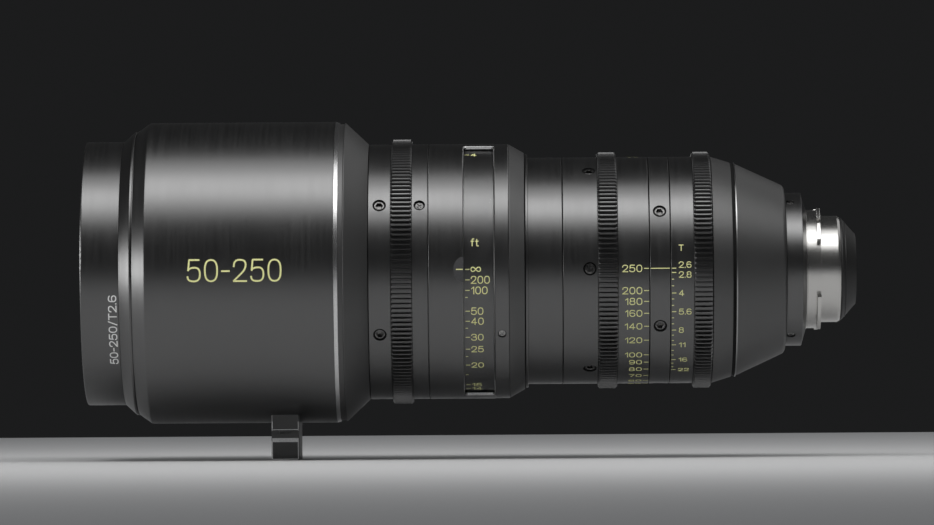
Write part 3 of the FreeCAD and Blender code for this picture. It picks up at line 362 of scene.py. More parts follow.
def strip(work, rows):                              # walls between each loop of points and the next
    for row, after in zip(rows, rows[1:]):
        for k in range(len(row)):
            n = (k + 1) % len(row)
            work.faces.new((row[k], row[n], after[n], after[k]))


def capped(work, rows):                             # the same, with both ends closed
    strip(work, rows)
    work.faces.new(rows[0])
    work.faces.new(rows[-1])


def joined(name, meshes):                           # several meshes as one
    work = bmesh.new()
    for mesh in meshes:
        work.from_mesh(mesh)
    return closedMesh(work, name)


def addPiece(name, mesh, body, material=None, stands=()):
    piece = bpy.data.objects.new(name, mesh)
    scene.collection.objects.link(piece)
    if material:
        mesh.materials.append(material)
    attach(piece, body)
    if stands:
        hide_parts(*stands)


def newTree(name, sizes):                           # a geometry tree with named inputs
    tree = bpy.data.node_groups.new(name, "GeometryNodeTree")
    tree.interface.new_socket("Geometry", in_out="OUTPUT", socket_type="NodeSocketGeometry")
    tree.interface.new_socket("Geometry", in_out="INPUT", socket_type="NodeSocketGeometry")
    for label, kind in sizes.items():
        tree.interface.new_socket(label, in_out="INPUT", socket_type="NodeSocket" + kind)
    return tree, Wire(tree).make("NodeGroupInput")


def closeTree(copies, given, weld):                 # makes the copies real, welds and paints them
    whole = given.make("GeometryNodeRealizeInstances", inputs={0: copies})
    if weld:
        whole = given.make("GeometryNodeMergeByDistance",
                           inputs={"Geometry": whole, "Distance": given.other("Weld")})
    painted = given.make("GeometryNodeSetMaterial",
                         inputs={"Geometry": whole, "Material": given.other("Material")})
    given.make("NodeGroupOutput", inputs={0: painted})


def roundTree():                                    # copies of a piece, built over +Z, evenly round the axis
    tree, given = newTree("aroundTheAxis", {"Count": "Int", "First Angle": "Float", "Weld": "Float",
                                            "Material": "Material"})
    step = 360.0 / given.other("Count")
    number = given.make("GeometryNodeInputIndex")
    turn = (90.0 - given.other("First Angle") - number * step) * math.radians(1)
    points = given.make("GeometryNodePoints", inputs={"Count": given.other("Count")})
    turned = given.make("ShaderNodeCombineXYZ", inputs={0: turn})
    copies = given.make("GeometryNodeInstanceOnPoints",
                        inputs={"Points": points, "Instance": given, "Rotation": turned})
    closeTree(copies, given, weld=True)
    return tree


def tickTree():                                     # a bar on each point, as long and turned as it says
    tree, given = newTree("tickMarks", {"Width": "Float", "Height": "Float", "Material": "Material"})
    size = given.make("ShaderNodeCombineXYZ",
                      inputs={0: 1.0, 1: given.other("Width"), 2: given.other("Height")})
    bar = given.make("GeometryNodeMeshCube", inputs={"Size": size})
    reach = given.make("GeometryNodeInputNamedAttribute", {"data_type": "FLOAT"}, {"Name": "reach"})
    turn = given.make("GeometryNodeInputNamedAttribute", {"data_type": "FLOAT"}, {"Name": "turn"})
    turned = given.make("ShaderNodeCombineXYZ", inputs={0: turn})
    scaled = given.make("ShaderNodeCombineXYZ", inputs={0: reach, 1: 1.0, 2: 1.0})
    copies = given.make("GeometryNodeInstanceOnPoints",
                        inputs={"Points": given, "Instance": bar, "Rotation": turned, "Scale": scaled})
    closeTree(copies, given, weld=False)
    return tree


def grow(name, mesh, tree, values):                 # runs a tree on a mesh and keeps the plain result
    seed = bpy.data.objects.new(name, mesh)
    scene.collection.objects.link(seed)
    modifier = seed.modifiers.new("grow", "NODES")
    modifier.node_group = tree
    for item in tree.interface.items_tree:
        if item.in_out == "INPUT" and item.name in values:
            modifier[item.identifier] = values[item.name]
    graph = bpy.context.evaluated_depsgraph_get()
    grown = bpy.data.meshes.new_from_object(seed.evaluated_get(graph), depsgraph=graph)
    grown.name = name
    bpy.data.objects.remove(seed)
    return grown


aroundTheAxis = roundTree()
tickMarks = tickTree()
print("geometry trees built")


# The tooth's shares are of one pitch, and its depth is in modules.
gearSizes = {"module": 0.8 * mm, "depth": 2.25, "endBevel": 0.85 * mm, "endRound": 0.2 * mm,
             "faceBevel": 0.12 * mm, "faceRound": 0.04 * mm, "flat": 0.085, "shoulder": 0.125,
             "shoulderDrop": 0.16 * mm, "foot": 0.25, "wall": 4.3 * mm, "weld": 0.004 * mm,
             "merge": 0.001 * mm, "sharp": 25}


def toothWedge(front, rear, tip):                   # one pitch of a drive gear: a tooth bevelled at both ends
    g = gearSizes
    teeth = round(2 * tip / g["module"]) - 2        # the pitch circle runs one module below the tips
    root = tip - g["depth"] * g["module"]
    bore = tip - g["wall"]
    bevelled = tip - g["endBevel"]
    half = [(g["flat"], tip), (g["shoulder"], tip - g["shoulderDrop"]), (g["foot"], root), (0.5, root)]
    wedge = bmesh.new()
    rows = []
    for share, radius in [(-share, radius) for share, radius in reversed(half)] + half:
        face = min(radius, bevelled)
        inset = max(radius - bevelled, g["faceBevel"])
        profile = [(front, bore), (front, face - g["faceBevel"]), (front + g["faceBevel"], face),
                   (front + inset, radius - g["faceRound"]), (front + inset + g["endRound"], radius),
                   (rear - inset - g["endRound"], radius), (rear - inset, radius - g["faceRound"]),
                   (rear - g["faceBevel"], face), (rear, face - g["faceBevel"]), (rear, bore)]
        angle = 2 * math.pi * share / teeth
        rows.append([wedge.verts.new((x, -r * math.sin(angle), r * math.cos(angle))) for x, r in profile])
    strip(wedge, rows)
    return closedMesh(wedge, "tooth"), teeth


def outwards(mesh):                                 # merges doubles and points every face outwards
    work = bmesh.new()
    work.from_mesh(mesh)
    bmesh.ops.remove_doubles(work, verts=work.verts, dist=gearSizes["merge"])
    bmesh.ops.recalc_face_normals(work, faces=work.faces)
    work.to_mesh(mesh)
    work.free()


def driveGear(node, body, piece):
    front, rear, tip = span(node)
    mesh, teeth = toothWedge(front, rear, tip)
    ring = grow(piece, mesh, aroundTheAxis,
                {"Count": teeth, "First Angle": 0.0, "Weld": gearSizes["weld"], "Material": gearBlack})
    outwards(ring)
    shade(ring, gearSizes["sharp"])
    addPiece(piece, ring, body, stands=[node])
    print("%s: %d teeth" % (piece, teeth))


driveGear("focus_gear", "focus_ring", "focusDriveGear")
driveGear("zoom_gear", "zoom_ring", "zoomDriveGear")
driveGear("iris_gear", "iris_ring", "irisDriveGear")


def turnedSolid(corners, sides):                    # a closed ring or disc of (x, radius) corners
    work = bmesh.new()
    rings = []
    for x, radius in corners:
        turns = [2 * math.pi * k / sides for k in range(sides if radius else 1)]
        rings.append([work.verts.new((x, radius * math.cos(t), radius * math.sin(t))) for t in turns])
    for first, second in zip(rings, rings[1:] + rings[:1]):
        for k in range(sides):
            n = (k + 1) % sides
            points = [first[k % len(first)], first[n % len(first)],
                      second[n % len(second)], second[k % len(second)]]
            unique = list(dict.fromkeys(points))    # two meet where a ring has closed to a point
            if len(unique) > 2:
                work.faces.new(unique)
    return closedMesh(work, "turned")


def upright(mesh):                                  # turns a piece made along the axis to point up +Z
    mesh.transform(Matrix.Rotation(math.radians(-90), 4, "Y"))
    return mesh


socketHead = {"radius": 2.55 * mm, "bevel": 0.3 * mm, "round": 0.3, "drop": 0.5 * mm, "key": 1.75 * mm,
              "lead": 0.2 * mm, "flare": 0.25, "depth": 1.8 * mm, "clear": 0.1 * mm, "length": 2.4 * mm,
              "bore": 3.36 * mm, "sides": 48}
crossHead = {"radius": 2.2 * mm, "bevel": 0.3 * mm, "round": 0.3, "drop": 0.9 * mm, "arm": 1.25 * mm,
             "slot": 0.32 * mm, "flare": 0.15, "turn": 40, "depth": 0.6 * mm, "clear": 0.2 * mm,
             "length": 2.0 * mm, "bore": 2.86 * mm, "sides": 40}
smallHead = {**crossHead, "radius": 1.7 * mm, "bevel": 0.25 * mm, "drop": 0.5 * mm, "arm": 1.15 * mm,
             "slot": 0.28 * mm, "bore": 2.11 * mm, "sides": 32}
screwGapShades = {"under": 0.9, "below": 0.4 * mm, "thick": 0.1 * mm}
screwSharp = 30


def cylinderHead(size, top):                        # a closed screw head without its recess
    r, b = size["radius"], size["bevel"]
    low = top - size["length"]
    soft = b * size["round"]
    rows = [(low, r), (top - b, r), (top - soft, r - soft), (top, r - b)]
    return upright(turnedSolid([(low, 0.0)] + rows + [(top, 0.0)], size["sides"]))


def cutBy(mesh, cutter):                            # one solid less another
    target = bpy.data.objects.new("target", mesh)
    tool = bpy.data.objects.new("tool", cutter)
    for item in (target, tool):
        scene.collection.objects.link(item)
    modifier = target.modifiers.new("cut", "BOOLEAN")
    modifier.operation = "DIFFERENCE"
    modifier.object = tool
    modifier.solver = "EXACT"
    graph = bpy.context.evaluated_depsgraph_get()
    result = bpy.data.meshes.new_from_object(target.evaluated_get(graph), depsgraph=graph)
    bpy.data.objects.remove(target)
    bpy.data.objects.remove(tool)
    return result


def prism(outline, low, high, spread=0.0):          # an upright prism; spread widens its top
    work = bmesh.new()
    capped(work, [[work.verts.new((x * wide, y * wide, z)) for x, y in outline]
                  for wide, z in ((1, low), (1 + spread, high))])
    return closedMesh(work, "prism")


def socketScrew(size, top):                         # a hexagon socket, widened a little at its mouth
    turns = [math.radians(60 * k) for k in range(6)]
    hexagon = [(size["key"] * math.cos(t), size["key"] * math.sin(t)) for t in turns]
    head = cutBy(cylinderHead(size, top), prism(hexagon, top - size["depth"], top + size["clear"]))
    return cutBy(head, prism(hexagon, top - size["lead"], top + size["lead"], size["flare"]))


def crossScrew(size, top):                          # a cross recess
    a, w = size["arm"], size["slot"]
    cross = [(a, w), (w, w), (w, a), (-w, a), (-w, w), (-a, w), (-a, -w), (-w, -w), (-w, -a), (w, -a),
             (w, -w), (a, -w)]
    recess = prism(cross, top - size["depth"], top + size["clear"], size["flare"])
    recess.transform(Matrix.Rotation(math.radians(size["turn"]), 4, "Z"))
    return cutBy(cylinderHead(size, top), recess)


def screwWell(size, top):                           # a near-black ring low in the gap round a head: painted shade
    low = top - screwGapShades["below"]
    high = low + screwGapShades["thick"]
    under = size["radius"] * screwGapShades["under"]
    return upright(turnedSolid([(low, under), (high, under), (high, size["bore"]), (low, size["bore"])],
                               size["sides"]))


def screwCircle(piece, body, size, ring, along, count, first, stands=()):
    top = span(ring)[2] - size["drop"]
    head = socketScrew(size, top) if size is socketHead else crossScrew(size, top)
    metal = screwWorn if size is smallHead else screwBlack
    # the second piece paints the shade in each head's gap with a near-black ring
    for name, mesh, slot, material in ((piece, head, "screw_black", metal),
                                       (piece + "GapShades", screwWell(size, top), "inner_black", paintedShadeBlack)):
        mesh.transform(Matrix.Translation((along, 0, 0)))
        made = grow(name, mesh, aroundTheAxis,
                    {"Count": count, "First Angle": first, "Weld": 0.0, "Material": material})
        shade(made, screwSharp)
        addPiece(name, made, body, stands=stands if mesh is head else ())


collarScrewAt = span("mount_collar")[0] + 2.6 * mm
# piece, body, head, the ring it sits in, place along the axis, count, first angle and what it replaces
screwCircle("focusClampScrews", "focus_ring", socketHead, "focus_clamp_ring",
            middle("focus_ring_screws"), 6, 30.0, ["focus_ring_screws"])
screwCircle("zoomClampScrews", "zoom_ring", socketHead, "zoom_clamp_ring",
            middle("zoom_ring_screws"), 6, 0.0, ["zoom_ring_screws"])
screwCircle("indexRingScrews", "barrel", socketHead, "index_ring",
            middle("index_ring_screws"), 6, 30.0, ["index_ring_screws"])
screwCircle("focusStopScrews", "focus_ring", crossHead, "focus_ring",
            middle("focus_stop_screws"), 3, 30.0, ["focus_stop_screws"])
screwCircle("coverLockScrews", "barrel", smallHead, "cover_lock_ring",
            middle("cover_lock_ring"), 3, -30.0, ["small_cross_screws"])
screwCircle("collarScrews", "barrel", smallHead, "mount_collar", collarScrewAt, 3, 60.0)
print("screws in place")


def wrapped(flat, along, angle, radius, way=1, lie=False):
    # Bends a flat mesh onto a barrel. Way -1 lets it be read from the far side, lie turns it by 90 degrees.
    for vertex in flat.vertices:
        right, up, out = vertex.co
        if lie:
            right, up = -up, right
        vertex.co = onBarrel(along + way * right, math.radians(angle) + way * up / radius, radius + out)
    return flat


# Strokes of each sign on a height of 1: how far its corners are rounded, then its corners.
plainSigns = {
    "0": [(0.46, [(0.31, 0), (0.62, 0), (0.62, 1), (0, 1), (0, 0), (0.31, 0)])],
    "1": [(0.02, [(0.04, 0.74), (0.32, 1), (0.32, 0)])],
    "2": [(0.30, [(0, 0.70), (0, 1), (0.60, 1), (0.60, 0.56), (0, 0.02)]), (0, [(0, 0), (0.62, 0)])],
    "3": [(0.24, [(0, 0.80), (0, 1), (0.58, 1), (0.58, 0.54), (0.22, 0.54)]),
          (0.26, [(0.26, 0.54), (0.62, 0.54), (0.62, 0), (0, 0), (0, 0.22)])],
    "4": [(0.02, [(0.46, 0), (0.46, 1), (0, 0.28), (0.66, 0.28)])],
    "5": [(0.02, [(0.56, 1), (0.08, 1), (0.03, 0.52)]),
          (0.30, [(0.03, 0.52), (0.10, 0.64), (0.62, 0.64), (0.62, 0), (0, 0), (0, 0.20)])],
    "6": [(0.42, [(0.58, 0.88), (0.52, 1), (0, 1), (0, 0), (0.62, 0), (0.62, 0.57), (0.03, 0.57),
                  (0, 0.36)])],
    "7": [(0.02, [(0, 1), (0.62, 1), (0.20, 0)])],
    "8": [(0.24, [(0.31, 0.54), (0.58, 0.54), (0.58, 1), (0.04, 1), (0.04, 0.54), (0.31, 0.54)]),
          (0.27, [(0.31, 0), (0.62, 0), (0.62, 0.54), (0, 0.54), (0, 0), (0.31, 0)])],
    "9": [(0.42, [(0.04, 0.12), (0.10, 0), (0.62, 0), (0.62, 1), (0, 1), (0, 0.43), (0.59, 0.43),
                  (0.62, 0.64)])],
    ".": [(0, [(0, 0), (0, 0.04)])],
    "-": [(0, [(0, 0.47), (0.34, 0.47)])],
    "/": [(0, [(0, -0.04), (0.36, 1.06)])],
    "T": [(0, [(0, 1), (0.62, 1)]), (0, [(0.31, 1), (0.31, 0)])],
    "f": [(0.14, [(0.36, 1.02), (0.15, 1.02), (0.15, 0)]), (0, [(0, 0.68), (0.34, 0.68)])],
    "t": [(0.14, [(0.13, 0.94), (0.13, 0), (0.34, 0)]), (0, [(0, 0.68), (0.32, 0.68)])],
}
# Shares of the height: the gap between signs, a stroke's longest and least step. Bends: steps round a corner.
lettering = {"lift": 0.03 * mm, "thick": 0.05 * mm, "tick": 0.42 * mm, "gap": 0.25, "step": 0.16,
             "least": 1e-5, "bends": 5}


def roundedStroke(corners, radius):                 # points along a stroke, and whether it is closed
    points = [Vector(p) for p in corners]
    last = len(points) - 2
    shares = [k / lettering["bends"] for k in range(lettering["bends"] + 1)]
    done = [points[0]]
    for k, corner in enumerate(points[1:-1], 1):
        before, after = points[k - 1] - corner, points[k + 1] - corner
        start = corner + before.normalized() * min(radius, before.length * (1 if k == 1 else 0.5))
        end = corner + after.normalized() * min(radius, after.length * (1 if k == last else 0.5))
        done += [start * (1 - t) ** 2 + corner * 2 * t * (1 - t) + end * t * t for t in shares]
    done.append(points[-1])
    path = []
    for here, there in zip(done, done[1:]):
        length = (there - here).length
        count = math.ceil(length / lettering["step"]) if length > lettering["least"] else 0
        path += [here.lerp(there, k / count) for k in range(count)]
    closed = corners[0] == corners[-1]
    return path + ([] if closed else [done[-1]]), closed


def band(work, path, closed, width):                # a thin flat band of one width along a path
    half = width / 2
    rows = []
    last = len(path) - 1
    for k, point in enumerate(path):
        before = path[k - 1] if k or closed else point
        after = path[(k + 1) % len(path)] if k < last or closed else point
        ahead = (after - before).normalized()
        across = Vector((-ahead.y, ahead.x)) * half
        ends = ahead * half * (0 if closed else (k == last) - (k == 0))
        rows.append([work.verts.new((*(point + ends + side * across), up))
                     for side, up in ((1, 0), (1, lettering["thick"]), (-1, lettering["thick"]), (-1, 0))])
    if closed:
        strip(work, rows + rows[:1])
    else:
        capped(work, rows)


def plainFigures(words, look, align):               # technical figures in strokes of one width
    size = look["height"] / (1 + look["stroke"])
    edge = look["stroke"] * size / 2
    work = bmesh.new()
    pen = 0.0
    for sign in words:
        for radius, corners in plainSigns[sign]:
            path, closed = roundedStroke(corners, radius)
            path = [Vector(((pen + p.x) * look["widen"], p.y)) * size for p in path]
            band(work, path, closed, 2 * edge)
        pen += max(p[0] for _, corners in plainSigns[sign] for p in corners) + lettering["gap"]
    width = (pen - lettering["gap"]) * look["widen"] * size
    shift = {"LEFT": edge, "CENTER": -width / 2, "RIGHT": -width - edge}[align]
    bmesh.ops.translate(work, verts=work.verts, vec=(shift, -size / 2, lettering["lift"]))
    return closedMesh(work, "figures")


def tickPoints(marks, radius):                      # marks are (start along the axis, length, angle)
    mesh = bpy.data.meshes.new("ticks")
    mesh.from_pydata([onBarrel(start + length / 2, math.radians(angle), radius + lettering["lift"])
                      for start, length, angle in marks], [], [])
    for label, values in (("reach", [length for _, length, _ in marks]),
                          ("turn", [math.radians(90 - angle) for _, _, angle in marks])):
        store = mesh.attributes.new(label, "FLOAT", "POINT")
        store.data.foreach_set("value", values)
    return mesh


def addTicks(piece, body, marks, radius, width):
    ticks = grow(piece, tickPoints(marks, radius), tickMarks,
                 {"Width": width, "Height": lettering["thick"], "Material": paleYellow})
    addPiece(piece, ticks, body)


def addScale(piece, body, look, marks, figures, radius):
    addTicks(piece + "Ticks", body, marks, radius, lettering["tick"])
    meshes = [wrapped(plainFigures(words, look, align), along, angle, radius, way)
              for words, align, along, angle, way in figures]
    addPiece(piece + "Figures", joined(piece, meshes), body, paleYellow)


rearRadius = span("index_ring")[2]
windowFront, windowRear = span("scale_window")[:2]
bothSides = ((1, 0.0), (-1, 180.0))                 # way and zero angle on the seen side and the far one

zoomScale = {"longest": 250, "figures": [250, 200, 180, 160, 140, 120, 100, 90, 80, 70, 60, 50],
             "perRatio": 53.2, "bend": 1.044, "inset": 0.25 * mm, "tick": 2.5 * mm, "gap": 0.9 * mm,
             "height": 3.7 * mm, "widen": 1.24, "stroke": 0.13}
irisScale = {"widest": 2.6, "figures": [2.6, 2.8, 4, 5.6, 8, 11, 16, 22], "perDoubling": 20.0,
             "thirdsFrom": 2.8, "thirds": 18, "inset": 0.35 * mm, "tick": 2.2 * mm, "short": 1.1 * mm,
             "gap": 1.3 * mm, "height": 3.2 * mm, "widen": 1.22, "stroke": 0.14,
             "nudge": {2.6: 1.75, 2.8: -1.05}, "letterAt": 10.2}
focusScale = {"constant": 960.0, "offset": 0.7, "letterAt": 12.4, "stroke": 0.13, "widen": 1.10,
              "figures": [200, 100, 50, 40, 30, 25, 20, 15, 14, 12, 10, 9, 8, 7, 6, 5, 4],
              "between": [75, 35, 22.5, 17.5, 13, 11, 8.5, 7.5, 6.5, 5.5, 4.5], "inset": 1.25 * mm,
              "tick": 2.2 * mm, "short": 1.2 * mm, "gap": 0.6 * mm, "height": 3.95 * mm}
infinity = {"reach": 2.4 * mm, "tall": 1.25, "band": 0.50 * mm, "steps": 72, "centre": 2.5 * mm}


def zoomMarks():
    z = zoomScale
    edge = span("zoom_ring")[1] - z["inset"]
    marks, figures = [], []
    for way, base in bothSides:
        for figure in z["figures"]:
            angle = base - z["perRatio"] * math.log(z["longest"] / figure) ** z["bend"]
            marks.append((edge - z["tick"], z["tick"], angle))
            start = edge - z["tick"] - z["gap"]
            figures.append((str(figure), "RIGHT" if way > 0 else "LEFT", start, angle, way))
    addScale("zoom", "zoom_ring", z, marks, figures, rearRadius)


def irisMarks():
    s = irisScale
    edge = span("iris_ring")[0] + s["inset"]
    start = edge + s["tick"] + s["gap"]
    marks, figures = [], []
    for way, base in bothSides:
        align = "LEFT" if way > 0 else "RIGHT"
        for figure in s["figures"]:
            angle = base - s["perDoubling"] * math.log2(figure / s["widest"])
            marks.append((edge, s["tick"], angle))
            figures.append((str(figure), align, start, angle + s["nudge"].get(figure, 0.0) * way, way))
        for third in range(1, s["thirds"]):         # thirds of a stop, six to each doubling
            if third % 3:
                turns = math.log2(s["thirdsFrom"] / s["widest"]) + third / 6
                marks.append((edge, s["short"], base - s["perDoubling"] * turns))
        figures.append(("T", align, start, base + s["letterAt"] * way, way))
    addScale("iris", "iris_ring", s, marks, figures, rearRadius)


def infinitySign():                                 # a figure of eight laid on its side
    sign = infinity
    path = []
    for k in range(sign["steps"]):
        t = 2 * math.pi * k / sign["steps"]
        curl = sign["reach"] / (1 + math.sin(t) ** 2)
        path.append(Vector((curl * math.cos(t), sign["tall"] * curl * math.sin(t) * math.cos(t))))
    work = bmesh.new()
    band(work, path, True, sign["band"])
    bmesh.ops.translate(work, verts=work.verts, vec=(0, 0, lettering["lift"]))
    return closedMesh(work, "infinity")


def focusAngle(feet):                               # the near distances lie wider apart
    return -focusScale["constant"] / (feet - focusScale["offset"])


def focusMarks():
    s = focusScale
    edge = windowFront + s["inset"]
    radius = span("focus_scale_ring")[2]
    start = edge + s["tick"] + s["gap"]
    marks = [(edge, s["tick"], focusAngle(feet)) for feet in s["figures"]]
    marks += [(edge, s["short"], focusAngle(feet)) for feet in s["between"]]
    marks.append((edge, s["tick"], 0.0))
    figures = [(str(feet), "LEFT", start, focusAngle(feet), 1) for feet in s["figures"]]
    figures.append(("ft", "LEFT", start, s["letterAt"], 1))
    addScale("focus", "focus_ring", s, marks, figures, radius)
    sign = wrapped(infinitySign(), start + infinity["centre"], 0.0, radius)
    addPiece("focusInfinity", sign, "focus_ring", paleYellow)


zoomMarks()
irisMarks()
focusMarks()
print("scales engraved")


indexMarks = {"line": 0.42 * mm, "inset": 0.3 * mm, "focusLine": 0.5 * mm, "focusLength": 3.4 * mm,
              "overFrame": 0.1 * mm, "plate": 6.3 * mm, "plateWide": 0.80, "plateThick": 0.12 * mm,
              "plateOver": 0.4 * mm, "steps": 40, "cut": 1.1 * mm, "cutMerge": 1e-7}


def halfMoon():                                     # the grey plate beside the window, under the focus index
    m = indexMarks
    rows = [[], []]
    work = bmesh.new()
    for k in range(m["steps"] + 1):
        t = math.pi / 2 + math.pi * k / m["steps"]
        for row, height in zip(rows, (0.0, m["plateThick"])):
            row.append(work.verts.new((m["plate"] * math.cos(t) * m["plateWide"],
                                       m["plate"] * math.sin(t), height)))
    capped(work, rows)
    cuts = int(m["plate"] / m["cut"])
    for k in range(-cuts, cuts + 1):                # cuts across it, so that it can bend onto the barrel
        bmesh.ops.bisect_plane(work, geom=work.verts[:] + work.edges[:] + work.faces[:], dist=m["cutMerge"],
                               plane_co=(0, k * m["cut"], 0), plane_no=(0, 1, 0))
    return closedMesh(work, "halfMoon")


def indexLines():
    m = indexMarks
    front, rear, radius = span("index_ring")
    marks = [(front + m["inset"], rear - front - 2 * m["inset"], base) for _, base in bothSides]
    addTicks("indexLines", "barrel", marks, radius, m["line"])
    cover = span("scale_cover")[2]
    plate = wrapped(halfMoon(), windowFront + m["plateOver"], 0.0, cover)
    addPiece("focusIndexPlate", plate, "barrel", indexGrey)
    mark = (windowFront - m["focusLength"] + m["overFrame"], m["focusLength"], 0.0)
    addTicks("focusIndexLine", "barrel", [mark], cover + m["plateThick"], m["focusLine"])


rangeLook = {"words": "50-250", "height": 11.5 * mm, "stroke": 0.082, "widen": 0.93, "at": -294.4 * mm}
ringLook = {"words": "50-250/T2.6", "height": 4.3 * mm, "stroke": 0.155, "widen": 1.26, "at": -355.9 * mm,
            "angle": -26.8}


def barrelFigures():                                # plain numbers where the barrels carry lettering
    look = rangeLook
    radius = span("front_housing")[2]
    meshes = [wrapped(plainFigures(look["words"], look, "CENTER"), look["at"], base, radius, way)
              for way, base in bothSides]
    addPiece("rangeFigures", joined("rangeFigures", meshes), "barrel", paleYellow)
    look = ringLook
    radius = span("front_ring")[2]
    meshes = [wrapped(plainFigures(look["words"], look, "CENTER"), look["at"], look["angle"] + base, radius,
                      lie=True) for _, base in bothSides]
    addPiece("frontRingFigures", joined("frontRingFigures", meshes), "barrel", paleWhite)


# Angles in degrees: the frame's reach each way, the steps round its corners and along its sides, and where
# the bright ends lie, measured back from that reach.
windowEdge = {"span": 76.9, "bend": 15, "step": 2.5, "endFrom": 0.5, "endTo": 0.1, "corner": 1.8 * mm,
              "chamfer": 0.5 * mm, "wall": 1.3 * mm, "stand": 0.02 * mm, "endDrop": 0.06 * mm}


def windowFrame():                                  # the bare metal edge round the window's opening
    w = windowEdge
    top = span("scale_cover")[2] + w["stand"]
    low, high = windowFront, windowRear
    reach = math.radians(w["span"]) * top
    section = ((0, top), (w["chamfer"], top - w["chamfer"]), (w["chamfer"], top - w["wall"]),
               (0, top - w["wall"]))
    rows = []
    for x, along, turn in ((high, reach, 0), (low, reach, 90), (low, -reach, 180), (high, -reach, 270)):
        centreX = x - math.copysign(w["corner"], x - (low + high) / 2)
        centreAlong = along - math.copysign(w["corner"], along)
        for step in range(90 // w["bend"] + 1):
            a = math.radians(turn + w["bend"] * step)
            rows.append([(centreX + (w["corner"] - inset) * math.cos(a),
                          (centreAlong + (w["corner"] - inset) * math.sin(a)) / top, radius)
                         for inset, radius in section])
    filled = []                                     # the long sides follow the barrel in small steps
    for row, after in zip(rows, rows[1:] + rows[:1]):
        pieces = max(1, round(abs(after[0][1] - row[0][1]) / math.radians(w["step"])))
        filled += [[tuple(p + (q - p) * k / pieces for p, q in zip(one, two)) for one, two in zip(row, after)]
                   for k in range(pieces)]
    work = bmesh.new()
    made = [[work.verts.new(onBarrel(*point)) for point in row] for row in filled]
    strip(work, made + made[:1])
    addPiece("windowFrame", closedMesh(work, "windowFrame"), "barrel", bareEdge)
    ends = bmesh.new()
    floor, face = top - w["wall"], top - w["endDrop"]
    corners = ((low + w["corner"], floor), (low + w["corner"], face), (high - w["stand"], face),
               (high - w["stand"], floor))
    for side in (-1, 1):
        capped(ends, [[ends.verts.new(onBarrel(x, side * math.radians(w["span"] - back), radius))
                       for x, radius in corners] for back in (w["endFrom"], w["endTo"])])
    addPiece("windowEnds", closedMesh(ends, "windowEnds"), "barrel", edgeSilver)


footEdge = {"lowBlock": 9.1 * mm, "slopeTop": 11.1 * mm, "depth": 1.2 * mm, "grooveTop": 14.9 * mm,
            "line": 0.32 * mm, "stand": 0.04 * mm, "top": 19.5 * mm}


def footEdges():                                    # pale strips on the foot's edges and slope: painted highlights
    f = footEdge
    line = f["line"]
    low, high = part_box("support_foot")
    left, right = low.x + line, high.x - line
    strips = []                                     # from x to x, from height to height, and how deep it ends
    for x in (left, right - line):
        strips += [(x, x + line, line, f["lowBlock"], 0.0), (x, x + line, f["grooveTop"], f["top"], 0.0)]
    strips += [(left, right, line, 2 * line, 0.0),
               (left, right, f["grooveTop"] + line, f["grooveTop"] + 2 * line, 0.0),
               (left, right, f["lowBlock"], f["slopeTop"], f["depth"])]
    work = bmesh.new()
    for side in (-1, 1):
        for x0, x1, z0, z1, depth in strips:
            corners = ((x0, 0.0, z0), (x1, 0.0, z0), (x1, depth, z1), (x0, depth, z1))
            capped(work, [[work.verts.new((x, side * (high.y - back + out), low.z + z))
                           for x, back, z in corners] for out in (0.0, f["stand"])])
    addPiece("footEdges", closedMesh(work, "footEdges"), "barrel", footHighlightPaint)


baseRing = {"neck": 30.05 * mm, "stand": 0.4 * mm, "length": 0.7 * mm, "sides": 128}
groove = {"radius": 54.1 * mm, "depth": 0.5 * mm, "length": 1.7 * mm, "edge": 54.45 * mm, "land": 0.6 * mm,
          "sides": 160}
trimSharp = 32


def turnedTrim():                                   # the mount's root ring, a near-black ring of painted shade in the groove, and the groove's edge
    b, g = baseRing, groove
    seat = span("mount_collar")[1]
    neck, top = b["neck"] - b["stand"], b["neck"] + b["stand"]
    base = [(seat, neck), (seat, top), (seat + b["length"] / 2, top), (seat + b["length"], neck)]
    start = span("rear_cone_ring")[1]
    land = start + g["length"]
    end = land + g["land"]
    low = g["radius"] - g["depth"]
    shadeRing = [(start, low), (start, g["radius"]), (land, g["radius"]), (land, low)]
    edge = [(land, low), (land, g["edge"]), (end, g["edge"]), (end, low)]
    for piece, corners, sides, slot, finish in (
            ("mountBaseRing", base, b["sides"], "mount_steel", mountSteel),
            # the groove's ring is near-black: painted shade
            ("grooveShadeRing", shadeRing, g["sides"], "black_matte", paintedShadeBlack),
            ("rearHousingEdge", edge, g["sides"], "black_matte", bareEdge)):
        mesh = turnedSolid(corners, sides)
        shade(mesh, trimSharp)
        addPiece(piece, mesh, "barrel", finish)


indexLines()
barrelFigures()
windowFrame()
footEdges()
turnedTrim()
print("index marks, figures and trim in place")


softboxes = {                                       # azimuth, elevation, distance, width, height, radiance
    "keyBox": (0, 64, 0.66, 1.3, 0.25, 2.1),
    "wideBox": (0, 67, 0.68, 1.3, 0.62, 1.2),
    "leftBox": (-77, 2, 1.3, 1.1, 0.26, 5.0),
    "rearBox": (125, 36, 1.2, 1.1, 0.6, 0.5),
}


def softbox(name, azimuth, elevation, distance, width, height, radiance):
    lamp = bpy.data.lights.new(name, "AREA")
    lamp.shape = "RECTANGLE"
    lamp.size = width
    lamp.size_y = height
    lamp.energy = radiance * math.pi * width * height
    holder = bpy.data.objects.new(name, lamp)
    a, e = math.radians(azimuth), math.radians(elevation)
    out = Vector((math.sin(a) * math.cos(e), -math.cos(a) * math.cos(e), math.sin(e)))
    holder.location = Vector((middle("front_housing") / 2, 0, 0)) + out * distance
    holder.rotation_euler = out.to_track_quat("Z", "Y").to_euler()
    scene.collection.objects.link(holder)


room = {"seen": 0.012, "mirrored": 0.022, "fill": 0.25, "tint": colour(0.95, 0.97, 1.0)}


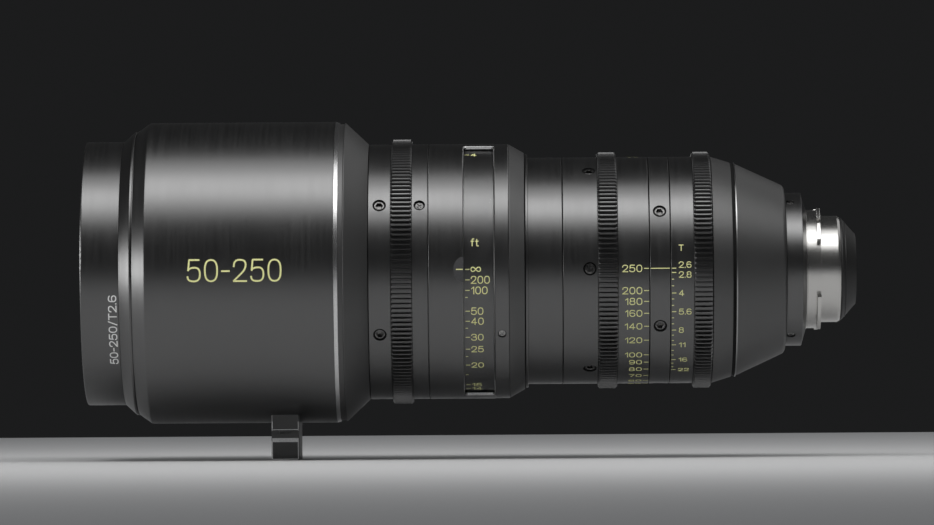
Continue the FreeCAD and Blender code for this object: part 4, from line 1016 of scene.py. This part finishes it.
def roomLight():                                    # the dark room, and the soft light that fills it
    world = bpy.data.worlds.new("room")
    scene.world = world
    world.use_nodes = True
    path = Wire(world.node_tree).make("ShaderNodeLightPath", output="Is Camera Ray")
    straight = path.sums("MAXIMUM", path, path.other("Is Transmission Ray"))
    away = path.other("Is Glossy Ray") * (room["mirrored"] - room["fill"]) + room["fill"]
    level = away + (room["seen"] - away) * straight
    background = world.node_tree.nodes["Background"]
    background.inputs["Color"].default_value = room["tint"]
    world.node_tree.links.new(level.socket, background.inputs["Strength"])


floorLook = {"front": -5.0, "back": 1.2, "side": 3.5, "dark": 0.52, "light": 0.58, "ior": 1.3, "rough": 0.8,
             "grain": 900.0, "grainRough": 0.1}


def paleFloor():
    f = floorLook
    material, place = newMaterial("paleFloor")
    grain = cloud(place, f["grain"], 3.0)
    closeMaterial(place, {"IOR": f["ior"]}, {"Base Color": grain.mix(grey(f["dark"]), grey(f["light"])),
                                             "Roughness": f["rough"] + grain * f["grainRough"]})
    mesh = bpy.data.meshes.new("studioFloor")
    side, front, back = f["side"], f["front"], f["back"]
    corners = [(-side, front), (side, front), (side, back), (-side, back)]
    mesh.from_pydata([(x, y, cadLow.z) for x, y in corners], [], [(0, 1, 2, 3)])
    mesh.materials.append(material)
    floor = bpy.data.objects.new("studioFloor", mesh)
    scene.collection.objects.link(floor)


view = {"distance": 3.26, "square": -0.1570, "aim": -0.1790, "raise": 0.0045, "elevation": -0.9,
        "roll": -0.37, "focal": 246.7, "sensor": 36.0, "far": 50.0}


def addCamera():                                    # level with the axis and far off, as a long lens sees it
    camera = bpy.data.cameras.new("camera")
    camera.lens = view["focal"]
    camera.sensor_width = view["sensor"]
    camera.clip_end = view["far"]
    holder = bpy.data.objects.new("camera", camera)
    height = view["distance"] * math.tan(math.radians(view["elevation"]))
    holder.location = (view["square"], -view["distance"], height)
    look = holder.location - Vector((view["aim"], 0, view["raise"]))
    turn = look.to_track_quat("Z", "Y").to_matrix() @ Matrix.Rotation(math.radians(view["roll"]), 3, "Z")
    holder.rotation_euler = turn.to_euler()
    scene.collection.objects.link(holder)
    scene.camera = holder


for name, box in softboxes.items():
    softbox(name, *box)
roomLight()
paleFloor()
addCamera()
scene.view_settings.view_transform = "Standard"
print("studio and camera set")
